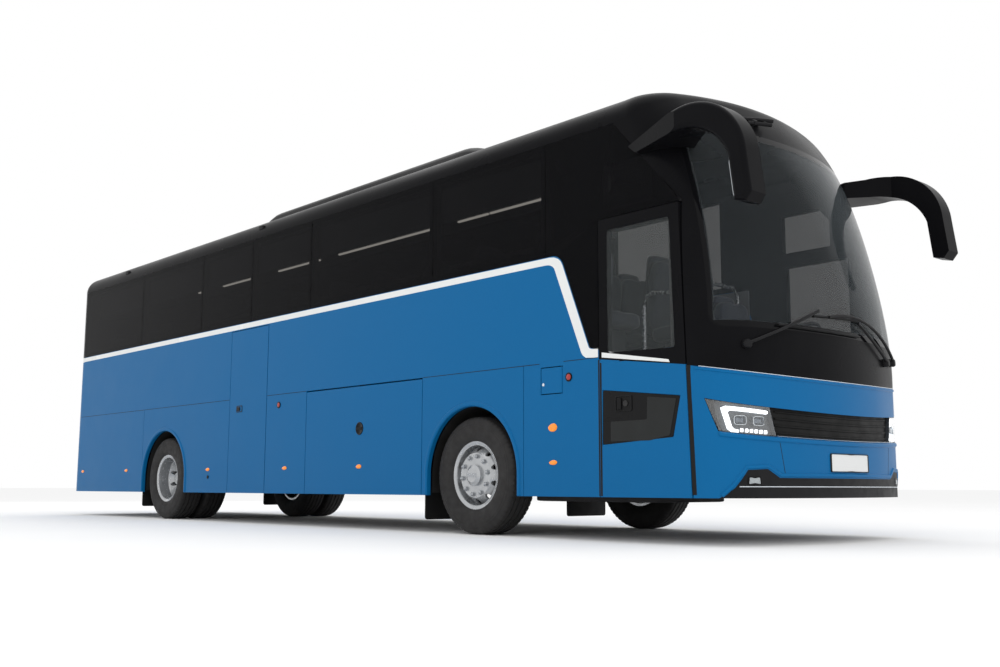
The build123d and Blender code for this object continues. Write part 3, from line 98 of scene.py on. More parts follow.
def roundOutline(corners, radius):
    # Closed outline: each corner is cut back by its radius and bridged by a parabola
    here = np.array(corners, float)
    toward = np.stack([np.roll(here, 1, 0) - here, np.roll(here, -1, 0) - here], 1)
    length = np.linalg.norm(toward, axis=2, keepdims=True)
    cut = np.minimum(radius, 0.48 * length)
    start, end = np.moveaxis(here[:, None] + toward / length * cut, 1, 0)[..., None, :]
    t = np.linspace(0, 1, 6)[None, :, None]
    return ((1 - t) ** 2 * start + 2 * t * (1 - t) * here[:, None] + t ** 2 * end).reshape(-1, 2)


def boxOutline(x0, x1, z0, z1, radius):
    # Rectangle with rounded corners
    return roundOutline([(x0, z0), (x1, z0), (x1, z1), (x0, z1)], radius)


def circle(x, z, radius, steps=24):
    # Points at equal turns about a middle
    turn = np.linspace(0, 2 * np.pi, steps, endpoint=False)
    return np.stack([x + radius * np.cos(turn), z + radius * np.sin(turn)], 1)


def polyline(points, steps):
    # Straight runs through the points, each with the same share of the steps
    points = np.array(points, float)
    at = np.linspace(0, len(points) - 1, steps)
    return np.stack([np.interp(at, np.arange(len(points)), column) for column in points.T], 1)


def denser(outline, step):
    # Closed outline with points added along its long edges
    loop = np.concatenate([outline, outline[:1]])
    run = np.concatenate([[0], np.cumsum(np.linalg.norm(np.diff(loop, axis=0), axis=1))])
    at = np.union1d(run[:-1], np.arange(0, run[-1], step))
    return np.stack([np.interp(at, run, loop[:, 0]), np.interp(at, run, loop[:, 1])], 1)


def pillow(outline, profile, place, steps=1, middle=None):
    # Rings of one outline: the profile's first column draws a ring in towards the middle and its second
    # lifts it off the skin, in so many straight steps from one row to the next
    profile = np.array(profile, float)
    middle = (outline.min(0) + outline.max(0)) / 2 if middle is None else np.array(middle)
    arm = outline - middle
    scale = np.maximum(1 - profile[:, :1] / np.linalg.norm(arm, axis=1), 0)
    lift = profile[:, 1:] + 0 * scale
    at = np.linspace(0, len(scale) - 1, (len(scale) - 1) * steps + 1)
    low = np.minimum(at.astype(int), len(scale) - 2)
    part = (at - low)[:, None]
    mix = lambda rows: rows[low] * (1 - part) + rows[low + 1] * part
    spread = middle + arm * mix(scale)[..., None]
    return place(spread[..., 0], spread[..., 1], mix(lift))


def border(outer, inner, sinks, lift, place):
    # Flat ring between two closed outlines of the same count, with both edges turned in
    both = np.stack([outer, outer, inner, inner])
    out = np.array([-sinks[0], lift, lift, -sinks[1]])[:, None]
    return place(both[..., 0], both[..., 1], out + 0 * both[..., 0])


def plate(depth, lift, edge):
    # Profile of a closed plate: flat back, upright wall, rounded edge and flat face
    return [(shut, -depth), (0, -depth), (0, lift - edge), (0.3 * edge, lift - 0.3 * edge), (edge, lift),
            (2 * edge, lift), (shut, lift)]


def bezel(depth, lift, width):
    # Profile of a ring with a flat crown and both walls
    return [(0, -depth), (0, 0.7 * lift), (0.2 * width, lift), (0.8 * width, lift), (width, 0.7 * lift),
            (width, -depth)]


def ribbon(edgeA, edgeB, sink, lift, place, across=5):
    # Strip between two edges: its height falls off with the fourth power of the distance from its middle
    # line
    a, b = np.array(edgeA, float)[:, None], np.array(edgeB, float)[:, None]
    v = np.linspace(0, 1, across)[None, :, None]
    both = a + (b - a) * v
    crown = 1 - (2 * v[..., 0] - 1) ** 4
    return place(both[..., 0], both[..., 1], -sink + (lift + sink) * crown + 0 * both[..., 0])


def lath(edge, offset, sink, lift, place, across=5):
    # Ribbon whose second edge is the first one moved by an offset
    edge = np.array(edge, float)
    return ribbon(edge, edge + offset, sink, lift, place, across)


def revolved(profile, middle, side, steps, notch=None):
    # Profile of radius and distance out, turned about an axle; notch takes a depth off the radius by angle
    profile = np.array(profile, float)
    angle = np.linspace(0, 2 * np.pi, steps, endpoint=False)[None]
    radius = profile[:, :1] - (0 if notch is None else notch(profile, angle))
    out = side * profile[:, 1:] + 0 * angle
    x, z = middle[0] + radius * np.sin(angle), middle[2] + radius * np.cos(angle)
    return np.stack([x, middle[1] + out, z], -1)


def turned(patch, middle, count, first):
    # Copies of a patch turned about an axle
    angle = first + np.arange(count) * 2 * np.pi / count
    arm = patch - np.array(middle)
    c, s = np.cos(angle)[:, None, None], np.sin(angle)[:, None, None]
    x, y, z = np.moveaxis(arm, -1, 0)[:, None]
    return np.stack([middle[0] + c * x + s * z, middle[1] + y + 0 * c * x, middle[2] - s * x + c * z], -1)


def tube(path, radius):
    # Round bar: a circle across the path's direction at each of its points
    path = np.array(path, float)
    along = np.gradient(path, axis=0)
    along /= np.linalg.norm(along, axis=1, keepdims=True)
    spare = np.where(np.abs(along[:, 2:]) > 0.9, np.array([[1.0, 0, 0]]), np.array([[0, 0, 1.0]]))
    right = np.cross(along, spare)
    right /= np.linalg.norm(right, axis=1, keepdims=True)
    over = np.cross(right, along)
    turn = np.linspace(0, 2 * np.pi, 10, endpoint=False)[None, :, None]
    return path[:, None] + radius * (np.cos(turn) * right[:, None] + np.sin(turn) * over[:, None])


def softBox(size, square):
    # Crowned closed block: a sphere whose sines and cosines are flattened by a power
    v = np.linspace(-np.pi / 2, np.pi / 2, 18)[:, None]
    u = np.linspace(0, 2 * np.pi, 28, endpoint=False)[None]
    bend = lambda wave: np.sign(wave) * np.abs(wave) ** square
    wide = bend(np.cos(v))
    return 0.5 * np.array(size) * np.stack([wide * bend(np.cos(u)), wide * bend(np.sin(u)),
                                            bend(np.sin(v)) + 0 * u], -1)


def swept(section, x0, x1, steps=2):
    # Section in y and z drawn along the coach
    x = np.linspace(x0, x1, steps)[:, None]
    y, z = np.array(section, float).T
    return np.stack(np.broadcast_arrays(x, y, z), -1)


def capped(patch):
    # Closes both ends of a swept patch at their middles
    middles = patch.mean(1, keepdims=True) + 0 * patch
    return np.concatenate([middles[:1], patch, middles[-1:]])


def rings(*patches, look=0):
    # Patches whose columns close on themselves, in one of the piece's finishes
    return [(patch, True, look) for patch in patches]


def strips(*patches, look=0):
    # Patches with free edges, in one of the piece's finishes
    return [(patch, False, look) for patch in patches]


def makePiece(name, body, finishes, patches, stands=()):
    # One mesh from grids: rows and columns of each grid become quads, columns closed where asked
    points, quads, looks, base = [], [], [], 0
    for patch, closed, look in patches:
        patch = patch.reshape((-1,) + patch.shape[-3:])
        count, rows, columns = patch.shape[:3]
        i, j = np.arange(rows - 1)[:, None], np.arange(columns if closed else columns - 1)[None]
        k = (j + 1) % columns
        quad = np.stack([i * columns + j, i * columns + k, (i + 1) * columns + k, (i + 1) * columns + j],
                        -1)
        quad = quad.reshape(1, -1, 4) + (base + np.arange(count) * rows * columns)[:, None, None]
        points.append(patch.reshape(-1, 3))
        quads.append(quad.reshape(-1, 4))
        looks.append(np.full(quads[-1].shape[0], look))
        base += count * rows * columns
    points, quads, looks = np.concatenate(points), np.concatenate(quads), np.concatenate(looks)
    mesh = bpy.data.meshes.new(name)
    mesh.vertices.add(len(points))
    mesh.vertices.foreach_set("co", points.ravel())
    mesh.loops.add(quads.size)
    mesh.loops.foreach_set("vertex_index", quads.ravel())
    mesh.polygons.add(len(quads))
    mesh.polygons.foreach_set("loop_start", np.arange(len(quads)) * 4)
    mesh.polygons.foreach_set("material_index", looks)
    mesh.update(calc_edges=True)
    shaped = bmesh.new()
    shaped.from_mesh(mesh)
    bmesh.ops.remove_doubles(shaped, verts=shaped.verts, dist=1e-5)
    bmesh.ops.recalc_face_normals(shaped, faces=shaped.faces)
    shaped.to_mesh(mesh)
    shaped.free()
    mesh.shade_smooth()
    mesh.set_sharp_from_angle(angle=0.6)  # folds of more than 34 degrees stay crisp
    for finish in finishes:
        mesh.materials.append(shade[finish])
    piece = bpy.data.objects.new(name, mesh)
    bpy.context.scene.collection.objects.link(piece)
    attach(piece, body)
    if stands:
        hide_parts(*stands)
    return piece


# Materials


def toLinear(code):
    # Each of the three sRGB channels by the standard curve
    part = np.array([int(code[i:i + 2], 16) / 255 for i in (1, 3, 5)])
    part = np.where(part <= 0.04045, part / 12.92, ((part + 0.055) / 1.055) ** 2.4)
    return (*part.tolist(), 1.0)


def addNode(tree, kind, settings, inputs):
    # A socket among the inputs is linked, any other value is set
    node = tree.nodes.new("ShaderNode" + kind)
    for key, value in settings.items():
        setattr(node, key, value)
    for key, value in inputs.items():
        if isinstance(value, bpy.types.NodeSocket):
            tree.links.new(value, node.inputs[key])
        else:
            node.inputs[key].default_value = value
    return node


def emptyMaterial(name):
    # A material with no node but its Object coordinates
    material = bpy.data.materials.new(name)
    material.use_nodes = True
    material.node_tree.nodes.clear()
    return material, material.node_tree, addNode(material.node_tree, "TexCoord", {}, {}).outputs["Object"]


def blend(tree, part, first, second):
    # Colour that goes from the first to the second with the part
    return addNode(tree, "Mix", {"data_type": "RGBA"}, {0: part, 6: first, 7: second}).outputs[2]


def makeMaterial(name, look):
    # Two tones drift into each other, the gloss drifts between two values and a fine relief bends the
    # normal. Sizes are in metres; relief is size, strength and depth, and a wave repeats every 0.31 of its
    # size
    material, tree, place = emptyMaterial(name)
    size, strength, depth = look["relief"]
    place = addNode(tree, "Mapping", {}, {"Vector": place,
                                          "Scale": look.get("stretch", (1, 1, 1))}).outputs[0]
    drift = addNode(tree, "TexNoise", {}, {"Vector": place, "Scale": 1 / look["toneSize"], "Detail": 3.0})
    tone = blend(tree, drift.outputs[0], *[toLinear(code) for code in look["tones"]])
    gloss = addNode(tree, "TexNoise", {}, {"Vector": place, "Scale": 1 / look["glossSize"], "Detail": 2.0})
    rough = addNode(tree, "MapRange", {}, {"Value": gloss.outputs[0], "From Min": 0.3, "From Max": 0.7,
                                           "To Min": look["rough"][0], "To Max": look["rough"][1]})
    kind, settings = look.get("pattern", ("TexNoise", {}))
    relief = addNode(tree, kind, settings, {"Vector": place, "Scale": 1 / size})
    bump = addNode(tree, "Bump", {}, {"Strength": strength, "Distance": depth, "Height": relief.outputs[0]})
    shader = addNode(tree, "BsdfPrincipled", {}, {"Base Color": tone, "Roughness": rough.outputs[0],
                                                  "Normal": bump.outputs[0], **look.get("shader", {})})
    addNode(tree, "OutputMaterial", {}, {"Surface": shader.outputs[0]})
    return material


ribs = lambda way: ("TexWave", {"bands_direction": way})
looks = {
    # Blue coat with a metallic flake under lacquer: deep, with a soft sheen and a slight orange peel. The
    # flake is drawn far coarser than it is, so that it shows
    "flakeBlueEnamel": {
        "tones": ("#065b90", "#0c6398"), "toneSize": 0.006, "rough": (0.30, 0.38), "glossSize": 0.4,
        "relief": (0.004, 0.03, 0.0004),
        "shader": {"Specular IOR Level": 0.08, "Coat Weight": 0.02, "Coat Roughness": 0.08}},
    # Polished black coat: roof, mask and mirrors show the lamps softly
    "glossBlackEnamel": {
        "tones": ("#0c0c0e", "#121214"), "toneSize": 0.3, "rough": (0.24, 0.34), "glossSize": 0.5,
        "relief": (0.004, 0.02, 0.0004), "shader": {"Specular IOR Level": 0.04}},
    # White coach enamel of the stripe: clean and bright under lacquer
    "whiteEnamel": {
        "tones": ("#d9dbda", "#e2e4e2"), "toneSize": 0.3, "rough": (0.2, 0.28), "glossSize": 0.3,
        "relief": (0.004, 0.02, 0.0004), "shader": {"Coat Weight": 0.4}},
    # Moulded trim with a fine eroded grain: black that greys a little where light grazes it
    "grainedBlackPlastic": {
        "tones": ("#121214", "#19191b"), "toneSize": 0.05, "rough": (0.42, 0.55), "glossSize": 0.08,
        "relief": (0.0012, 0.15, 0.0003), "shader": {"Specular IOR Level": 0.15}},
    # Moulding behind the front, darker and duller than the plastic itself: painted shade, so that the
    # grille and the other recesses read as hollows
    "shadeDarkenedBlack": {
        "tones": ("#050505", "#090909"), "toneSize": 0.1, "rough": (0.5, 0.65), "glossSize": 0.1,
        "relief": (0.002, 0.1, 0.0003), "shader": {"Specular IOR Level": 0.2}},
    # Smooth moulded plastic of handles and bezels: dark, with a soft narrow shine
    "satinBlackPlastic": {
        "tones": ("#101011", "#161617"), "toneSize": 0.2, "rough": (0.26, 0.34), "glossSize": 0.1,
        "relief": (0.002, 0.03, 0.0003), "shader": {"Specular IOR Level": 0.12}},
    # Raised field of the door insert: a shade lighter than the field round it, with a broad shine
    "satinGreyPlastic": {
        "tones": ("#202121", "#282a2a"), "toneSize": 0.25, "rough": (0.35, 0.45), "glossSize": 0.1,
        "relief": (0.0015, 0.05, 0.0003), "shader": {"Specular IOR Level": 0.15}},
    # Dark tinted safety glass: nearly black, with the faint waviness of toughened panes
    "tintedGlass": {
        "tones": ("#0b0b0d", "#0f0f11"), "toneSize": 0.8, "rough": (0.03, 0.06), "glossSize": 0.6,
        "relief": (0.5, 0.02, 0.002), "shader": {"Alpha": 0.72, "Specular IOR Level": 0.04}},
    # Laminated windscreen: a light grey tint that leaves the cabin to be seen
    "laminatedGlass": {
        "tones": ("#42474a", "#4a4f52"), "toneSize": 0.8, "rough": (0.03, 0.05), "glossSize": 0.6,
        "relief": (0.6, 0.02, 0.002), "shader": {"Alpha": 0.16, "Specular IOR Level": 0.1}},
    # Door pane: a lighter grey tint than the side windows
    "greyGlass": {
        "tones": ("#4b4f50", "#545858"), "toneSize": 0.8, "rough": (0.03, 0.05), "glossSize": 0.6,
        "relief": (0.5, 0.02, 0.002), "shader": {"Alpha": 0.22, "Specular IOR Level": 0.1}},
    # Moulded lens over the lamps: clear, seen by its gloss alone
    "clearPolycarbonate": {
        "tones": ("#f2f5f6", "#ffffff"), "toneSize": 0.2, "rough": (0.02, 0.05), "glossSize": 0.1,
        "relief": (0.05, 0.02, 0.0005), "shader": {"Alpha": 0.12, "Specular IOR Level": 0.6}},
    # Vacuum-coated reflector: bright and nearly a mirror
    "reflectorCoat": {
        "tones": ("#b9c0c6", "#d5dade"), "toneSize": 0.03, "rough": (0.08, 0.16), "glossSize": 0.05,
        "relief": (0.01, 0.03, 0.0005), "shader": {"Metallic": 1.0}},
    # Lit diffuser of the day lamps: an even cool white
    "ledDiffuser": {
        "tones": ("#f4f8ff", "#ffffff"), "toneSize": 0.01, "rough": (0.3, 0.4), "glossSize": 0.05,
        "relief": (0.004, 0.05, 0.0003),
        "shader": {"Emission Color": (0.92, 0.96, 1.0, 1.0), "Emission Strength": 1.6}},
    # Glowing strip under the racks: painted light, a warm line that stands for the light seen through the
    # dark side glass
    "paintedLightStrip": {
        "tones": ("#e9e4d8", "#f4efe4"), "toneSize": 0.05, "rough": (0.4, 0.5), "glossSize": 0.05,
        "relief": (0.004, 0.05, 0.0003),
        "shader": {"Emission Color": (1.0, 0.95, 0.86, 1.0), "Emission Strength": 2.2}},
    # Amber acrylic with fine ribs inside: glows a little, as if lit from within
    "amberAcrylic": {
        "tones": ("#e86a04", "#ff9a12"), "toneSize": 0.02, "rough": (0.12, 0.22), "glossSize": 0.03,
        "pattern": ribs("X"), "relief": (0.02, 0.4, 0.001),
        "shader": {"Emission Color": (1.0, 0.32, 0.01, 1.0), "Emission Strength": 0.18,
                   "Coat Weight": 0.5}},
    # Red acrylic with fine ribs inside: deep red under a glossy skin
    "redAcrylic": {
        "tones": ("#7d0808", "#b01212"), "toneSize": 0.03, "rough": (0.12, 0.22), "glossSize": 0.03,
        "pattern": ribs("Z"), "relief": (0.02, 0.35, 0.001), "shader": {"Coat Weight": 0.5}},
    # Fluted lens of fog and reversing lamps: grey glass broken up by its flutes
    "flutedGlass": {
        "tones": ("#7d8387", "#b3b9bc"), "toneSize": 0.012, "rough": (0.1, 0.2), "glossSize": 0.02,
        "pattern": ribs("Y"), "relief": (0.012, 0.4, 0.001), "shader": {"Metallic": 0.2}},
    # Projector lens: dark glass with a blue coat
    "projectorGlass": {
        "tones": ("#27313c", "#4d5d6e"), "toneSize": 0.03, "rough": (0.04, 0.08), "glossSize": 0.05,
        "relief": (0.02, 0.02, 0.0005), "shader": {"Coat Weight": 1.0}},
    # Moulded and lacquered lamp housing: dark grey with a metal tinge
    "lampHousing": {
        "tones": ("#33373b", "#43474b"), "toneSize": 0.05, "rough": (0.25, 0.4), "glossSize": 0.05,
        "relief": (0.003, 0.1, 0.0003), "shader": {"Metallic": 0.3}},
    # Coated mirror glass: shows its surroundings sharply
    "mirrorGlass": {
        "tones": ("#aeb4b8", "#c2c7ca"), "toneSize": 0.3, "rough": (0.02, 0.05), "glossSize": 0.2,
        "relief": (0.3, 0.02, 0.001), "shader": {"Metallic": 1.0}},
    # Chromed trim: thin bright lines
    "chromedTrim": {
        "tones": ("#cdd4dc", "#e6ebf0"), "toneSize": 0.2, "rough": (0.12, 0.2), "glossSize": 0.1,
        "relief": (0.01, 0.02, 0.0003), "shader": {"Metallic": 0.6}},
    # Polished forged aluminium, with the faint turning marks of the lathe
    "polishedAluminium": {
        "tones": ("#a4a6a8", "#bcbec0"), "toneSize": 0.12, "rough": (0.16, 0.28), "glossSize": 0.06,
        "relief": (0.003, 0.05, 0.0003), "stretch": (1, 6, 1), "shader": {"Metallic": 0.7}},
    # Zinc-plated steel: duller than the wheel, with small changes of tone
    "platedSteel": {
        "tones": ("#8f9296", "#b4b7ba"), "toneSize": 0.01, "rough": (0.18, 0.32), "glossSize": 0.02,
        "relief": (0.002, 0.08, 0.0003), "shader": {"Metallic": 0.7}},
    # Cast iron, rough from the mould: dark and uneven
    "castIron": {
        "tones": ("#2a2a2b", "#3b3a39"), "toneSize": 0.06, "rough": (0.55, 0.75), "glossSize": 0.05,
        "relief": (0.004, 0.5, 0.0012), "shader": {"Metallic": 0.6}},
    # Sprayed chassis paint with road dust: black, browned in patches
    "chassisPaint": {
        "tones": ("#131314", "#232220"), "toneSize": 0.25, "rough": (0.45, 0.7), "glossSize": 0.2,
        "relief": (0.01, 0.2, 0.001)},
    # Tyre rubber: dull, with a dry bloom that greys it in patches
    "tyreRubber": {
        "tones": ("#201f1f", "#302f2f"), "toneSize": 0.09, "rough": (0.6, 0.8), "glossSize": 0.05,
        "relief": (0.003, 0.25, 0.0008), "shader": {"Specular IOR Level": 0.25}},
    # Rubber of mud flaps and seals: matt black with a cast skin
    "sheetRubber": {
        "tones": ("#0f0f10", "#191919"), "toneSize": 0.1, "rough": (0.55, 0.7), "glossSize": 0.1,
        "relief": (0.004, 0.2, 0.0006), "shader": {"Specular IOR Level": 0.2}},
    # Reflective sheet of the blank plate: white, broken up by its small beads
    "reflectiveSheet": {
        "tones": ("#cfd0d0", "#dfe0df"), "toneSize": 0.004, "rough": (0.35, 0.5), "glossSize": 0.05,
        "pattern": ("TexVoronoi", {}), "relief": (0.003, 0.15, 0.0003)},
    # Ribbed vinyl floor: dark grey with a light fleck
    "ribbedVinyl": {
        "tones": ("#2a2b2e", "#3a3b3e"), "toneSize": 0.012, "rough": (0.5, 0.65), "glossSize": 0.2,
        "pattern": ribs("Y"), "relief": (0.08, 0.35, 0.0015)},
    # Grained cabin plastic: dull charcoal with a leathery cell pattern
    "cabinPlastic": {
        "tones": ("#1b1c1e", "#26272a"), "toneSize": 0.2, "rough": (0.5, 0.65), "glossSize": 0.1,
        "pattern": ("TexVoronoi", {}), "relief": (0.003, 0.3, 0.0005)},
    # Needled cabin lining: light grey and quite without shine
    "cabinLining": {
        "tones": ("#6d6f72", "#7b7d80"), "toneSize": 0.3, "rough": (0.6, 0.75), "glossSize": 0.1,
        "relief": (0.002, 0.3, 0.0006)},
    # Pale studio floor, matt with a faint mottle
    "paleStudioFloor": {
        "tones": ("#f3f3f3", "#f8f8f8"), "toneSize": 2.0, "rough": (0.8, 0.9), "glossSize": 1.0,
        "relief": (0.05, 0.02, 0.001), "shader": {"Specular IOR Level": 0.0}},
}
shade = {name: makeMaterial(name, look) for name, look in looks.items()}


def makeCloth(name, look):
    # Woven moquette: warp and weft waves cross and a noise varies the yarn
    material, tree, place = emptyMaterial(name)
    scale = 2 * np.pi / 20 / look["weave"]  # a wave of scale 1 repeats every 2 pi / 20 m
    warp, weft = [addNode(tree, *ribs(way), {"Vector": place, "Scale": scale}) for way in ("Y", "DIAGONAL")]
    weave = addNode(tree, "Math", {"operation": "MULTIPLY"}, {0: warp.outputs[1], 1: weft.outputs[1]})
    yarn = addNode(tree, "TexNoise", {}, {"Vector": place, "Scale": 1 / look["fleck"], "Detail": 4.0})
    tone = blend(tree, yarn.outputs[0], *[toLinear(code) for code in look["tones"]])
    bump = addNode(tree, "Bump", {}, {"Strength": look["strength"], "Distance": look["depth"],
                                      "Height": weave.outputs[0]})
    shader = addNode(tree, "BsdfPrincipled", {}, {"Base Color": tone, "Roughness": look["rough"],
                                                  "Normal": bump.outputs[0], "Sheen Weight": look["sheen"]})
    addNode(tree, "OutputMaterial", {}, {"Surface": shader.outputs[0]})
    return material


def paintOver(material):
    # What a later coat needs: the tree, its shader, the place and the tone so far
    tree = material.node_tree
    shader = tree.nodes["Principled BSDF"]
    place = addNode(tree, "SeparateXYZ", {}, {0: addNode(tree, "TexCoord", {}, {}).outputs["Object"]})
    return tree, shader, place.outputs, shader.inputs["Base Color"].links[0].from_socket


def addFrit(material, look):
    # Ceramic edge of the windscreen: the least distance to side edge, foot and head turns the glass opaque
    # black. The side edge leans back as a parabola in height
    tree, shader, place, under = paintOver(material)
    calc = lambda kind, a, b: addNode(tree, "Math", {"operation": kind}, {0: a, 1: b}).outputs[0]
    part = calc("DIVIDE", calc("SUBTRACT", place[2], look["foot"]), look["head"] - look["foot"])
    lean = calc("ADD", calc("MULTIPLY", part, look["curve"]), look["lean"])
    edge = calc("ADD", calc("MULTIPLY", part, lean), look["edge"])
    side = calc("SUBTRACT", calc("SUBTRACT", place[0], edge), look["sideWidth"])
    low = calc("SUBTRACT", place[2], look["foot"] + look["footWidth"])
    high = calc("SUBTRACT", look["head"] - look["headWidth"], place[2])
    near = calc("MINIMUM", side, calc("MINIMUM", low, high))
    clear = addNode(tree, "MapRange", {}, {"Value": near, "From Min": -look["soft"],
                                           "From Max": look["soft"]})
    # Seen edge-on the light crosses more tinted glass
    slant = addNode(tree, "LayerWeight", {}, {"Blend": 0.5})
    tint = addNode(tree, "MapRange", {}, {"Value": slant.outputs["Facing"], "From Min": look["slant"][0],
                                          "From Max": look["slant"][1],
                                          "To Min": shader.inputs["Alpha"].default_value,
                                          "To Max": look["slantAlpha"]})
    alpha = addNode(tree, "Mix", {"data_type": "FLOAT"}, {0: clear.outputs[0], 2: 1.0, 3: tint.outputs[0]})
    tree.links.new(alpha.outputs[0], shader.inputs["Alpha"])
    tree.links.new(blend(tree, clear.outputs[0], toLinear(look["tone"]), under),
                   shader.inputs["Base Color"])


def addBands(name, axis, bands):
    # Blue enamel in bands along one axis: each tone takes over from its start on
    shade[name] = makeMaterial(name, looks["flakeBlueEnamel"])
    tree, shader, place, tone = paintOver(shade[name])
    for start, code in bands:
        over = addNode(tree, "Math", {"operation": "GREATER_THAN"}, {0: place[axis], 1: start})
        tone = blend(tree, over.outputs[0], tone, toLinear(code))
    tree.links.new(tone, shader.inputs["Base Color"])


addFrit(shade["laminatedGlass"], {"foot": 1.56, "head": 3.19, "edge": coach["noseX"] - 0.36, "lean": -0.028,
                                  "curve": -0.312, "sideWidth": 0.03, "footWidth": 0.05, "headWidth": 0.06,
                                  "soft": 0.004, "slant": (0.55, 0.85), "slantAlpha": 0.75,
                                  "tone": "#0d0d0f"})
# Tail paint: the side's blue, stripe and black carried round the corner
addBands("bandedEnamel", 2, [(2.235, "#dddfde"), (2.305, "#121214")])
# Doors: blue outside, dark trim on the inner face and its lugs
addBands("trimmedEnamel", 1, [(-1.2258, "#2a2b2c")])
# Seat cloth: soft, dark blue grey with a fleck. The weave is drawn coarser than it is, so that it shows
cloth = {"weave": 0.012566, "fleck": 0.012, "strength": 0.6, "depth": 0.001, "rough": 0.9, "sheen": 0.3,
         "tones": ("#23262f", "#3b3f4c")}
shade["wovenMoquette"] = makeCloth("wovenMoquette", cloth)

slotLooks = {"body_paint": "flakeBlueEnamel", "black_paint": "glossBlackEnamel",
             "black_trim": "grainedBlackPlastic",
             "tinted_glass": "tintedGlass", "clear_glass": "laminatedGlass", "lamp_lens": "lampHousing",
             "red_lens": "redAcrylic", "amber_lens": "amberAcrylic", "frame_steel": "chassisPaint",
             "cast_metal": "castIron", "floor": "ribbedVinyl", "cabin_plastic": "cabinPlastic",
             "seat_cloth": "wovenMoquette", "black_rubber": "sheetRubber", "tyre_rubber": "tyreRubber",
             "wheel_alloy": "polishedAluminium"}
# The grille takes the black that is darkened with painted shade
nodeLooks = {"front_door_glass": "greyGlass", "grille": "shadeDarkenedBlack", "rear_panel": "bandedEnamel",
             "front_door": "trimmedEnamel", "mid_door": "trimmedEnamel"}
for part in frame["record"]["subparts"]:
    node = frame["nodes"][part["node"]]
    node.data.materials.clear()
    node.data.materials.append(shade[nodeLooks.get(part["node"], slotLooks[part["material_slot"]])])
print("materials set")


def fromAxle(points):
    # Points of the right side given from the front axle on
    return np.array(points) + [fax, 0]


# Stripe: edges from the tail forward, down the slant and out along the door, with the blue that runs up to
# it there
stripe = {"sink": 0.0005, "rise": 0.0012, "top": 2.305, "foot": 2.235,
          "outer": [(0.90, 2.305), (1.00, 2.305), (1.06, 2.298), (1.105, 2.280), (1.138, 2.252),
                    (1.159, 2.215),
                    (1.30, 1.868), (1.443, 1.516), (1.452, 1.505), (1.466, 1.500), (1.49, 1.497),
                    (1.537, 1.495)],
          "inner": [(0.90, 2.235), (0.945, 2.235), (0.975, 2.233), (1.005, 2.226), (1.030, 2.213),
                    (1.047, 2.196),
                    (1.175, 1.888), (1.301, 1.583), (1.345, 1.476), (1.362, 1.448), (1.395, 1.424),
                    (1.537, 1.412)],
          "doorOuter": [(1.576, 1.4692), (1.906, 1.4115), (2.236, 1.354)],
          "doorInner": [(1.576, 1.4023), (1.915, 1.3596), (2.255, 1.317)],
          "blueTop": [(1.556, 1.4065), (1.76, 1.381)], "blueFoot": [(1.556, 1.366), (1.76, 1.366)],
          "blueSink": 0.0003, "blueRise": 0.0010}
edges = [np.concatenate([[[coach["sideEnd"], stripe[end]]], fromAxle(stripe[edge])])
         for end, edge in (("top", "outer"), ("foot", "inner"))]
long = ribbon(*edges, stripe["sink"], stripe["rise"], rightMap)
makePiece("stripe", "body", ["whiteEnamel"], strips(long, mirrored(long)))
short = ribbon(fromAxle(stripe["doorOuter"]), fromAxle(stripe["doorInner"]), stripe["sink"], stripe["rise"],
               rightMap)
blue = ribbon(fromAxle(stripe["blueTop"]), fromAxle(stripe["blueFoot"]), stripe["blueSink"],
              stripe["blueRise"],
              rightMap)
makePiece("doorStripe", "front_door", ["whiteEnamel", "flakeBlueEnamel"],
          strips(short) + strips(blue, look=1))
# Upper door: black border round the pane, from the door's edges in to the clear window
doorBlack = {"outer": [(1.549, 1.404), (2.3966, 1.2975), (2.3545, 2.516), (1.549, 2.516)], "outerR": 0.004,
             "window": [(1.640, 1.448), (2.302, 1.432), (2.266, 2.420), (1.640, 2.420)], "windowR": 0.03,
             "sinks": (0.046, 0.052), "rise": 0.0008}
edges = [roundOutline(fromAxle(doorBlack[key]), doorBlack[key + "R"]) for key in ("outer", "window")]
makePiece("doorBorder", "front_door", ["glossBlackEnamel"],
          rings(border(*edges, doorBlack["sinks"], doorBlack["rise"], rightMap)))
# Rubber in the gaps before and behind the door, on the body and on the door's own edge
seals = {"z": (coach["sill"], 1.40), "body": (4.517, 4.531), "door": (4.534, 4.556), "sink": 0.0003,
         "rise": 0.0009,
         "corner": [(-1.4677, 0.36), (-1.4999, 1.29)], "cornerWidth": 0.037}
uprights = {key: lath([(seals[key][0], z) for z in seals["z"]], (seals[key][1] - seals[key][0], 0),
                      seals["sink"], seals["rise"], rightMap) for key in ("body", "door")}
corner = lath(seals["corner"], (seals["cornerWidth"], 0), seals["sink"], seals["rise"], noseMap)
makePiece("doorFrameSeal", "body", ["sheetRubber"], strips(uprights["body"], corner))
makePiece("doorEdgeSeal", "front_door", ["sheetRubber"], strips(uprights["door"]))
# Seam between waist panel and lower panels
seams = {"top": 1.4235, "width": 0.007, "sink": 0.0003, "rise": 0.0006,
         "right": [(-5.8825, -1.388), (-0.527, 0.29), (2.30, 3.86), (4.14, 4.52)],
         "left": [(-5.8825, 0.29), (2.30, 5.37)]}
lines = [lath([(x, seams["top"]) for x in run], (0, -seams["width"]), seams["sink"], seams["rise"], place)
         for place, key in ((rightMap, "right"), (leftMap, "left")) for run in seams[key]]
makePiece("panelSeams", "body", ["sheetRubber"], strips(*lines))
print("stripe done")

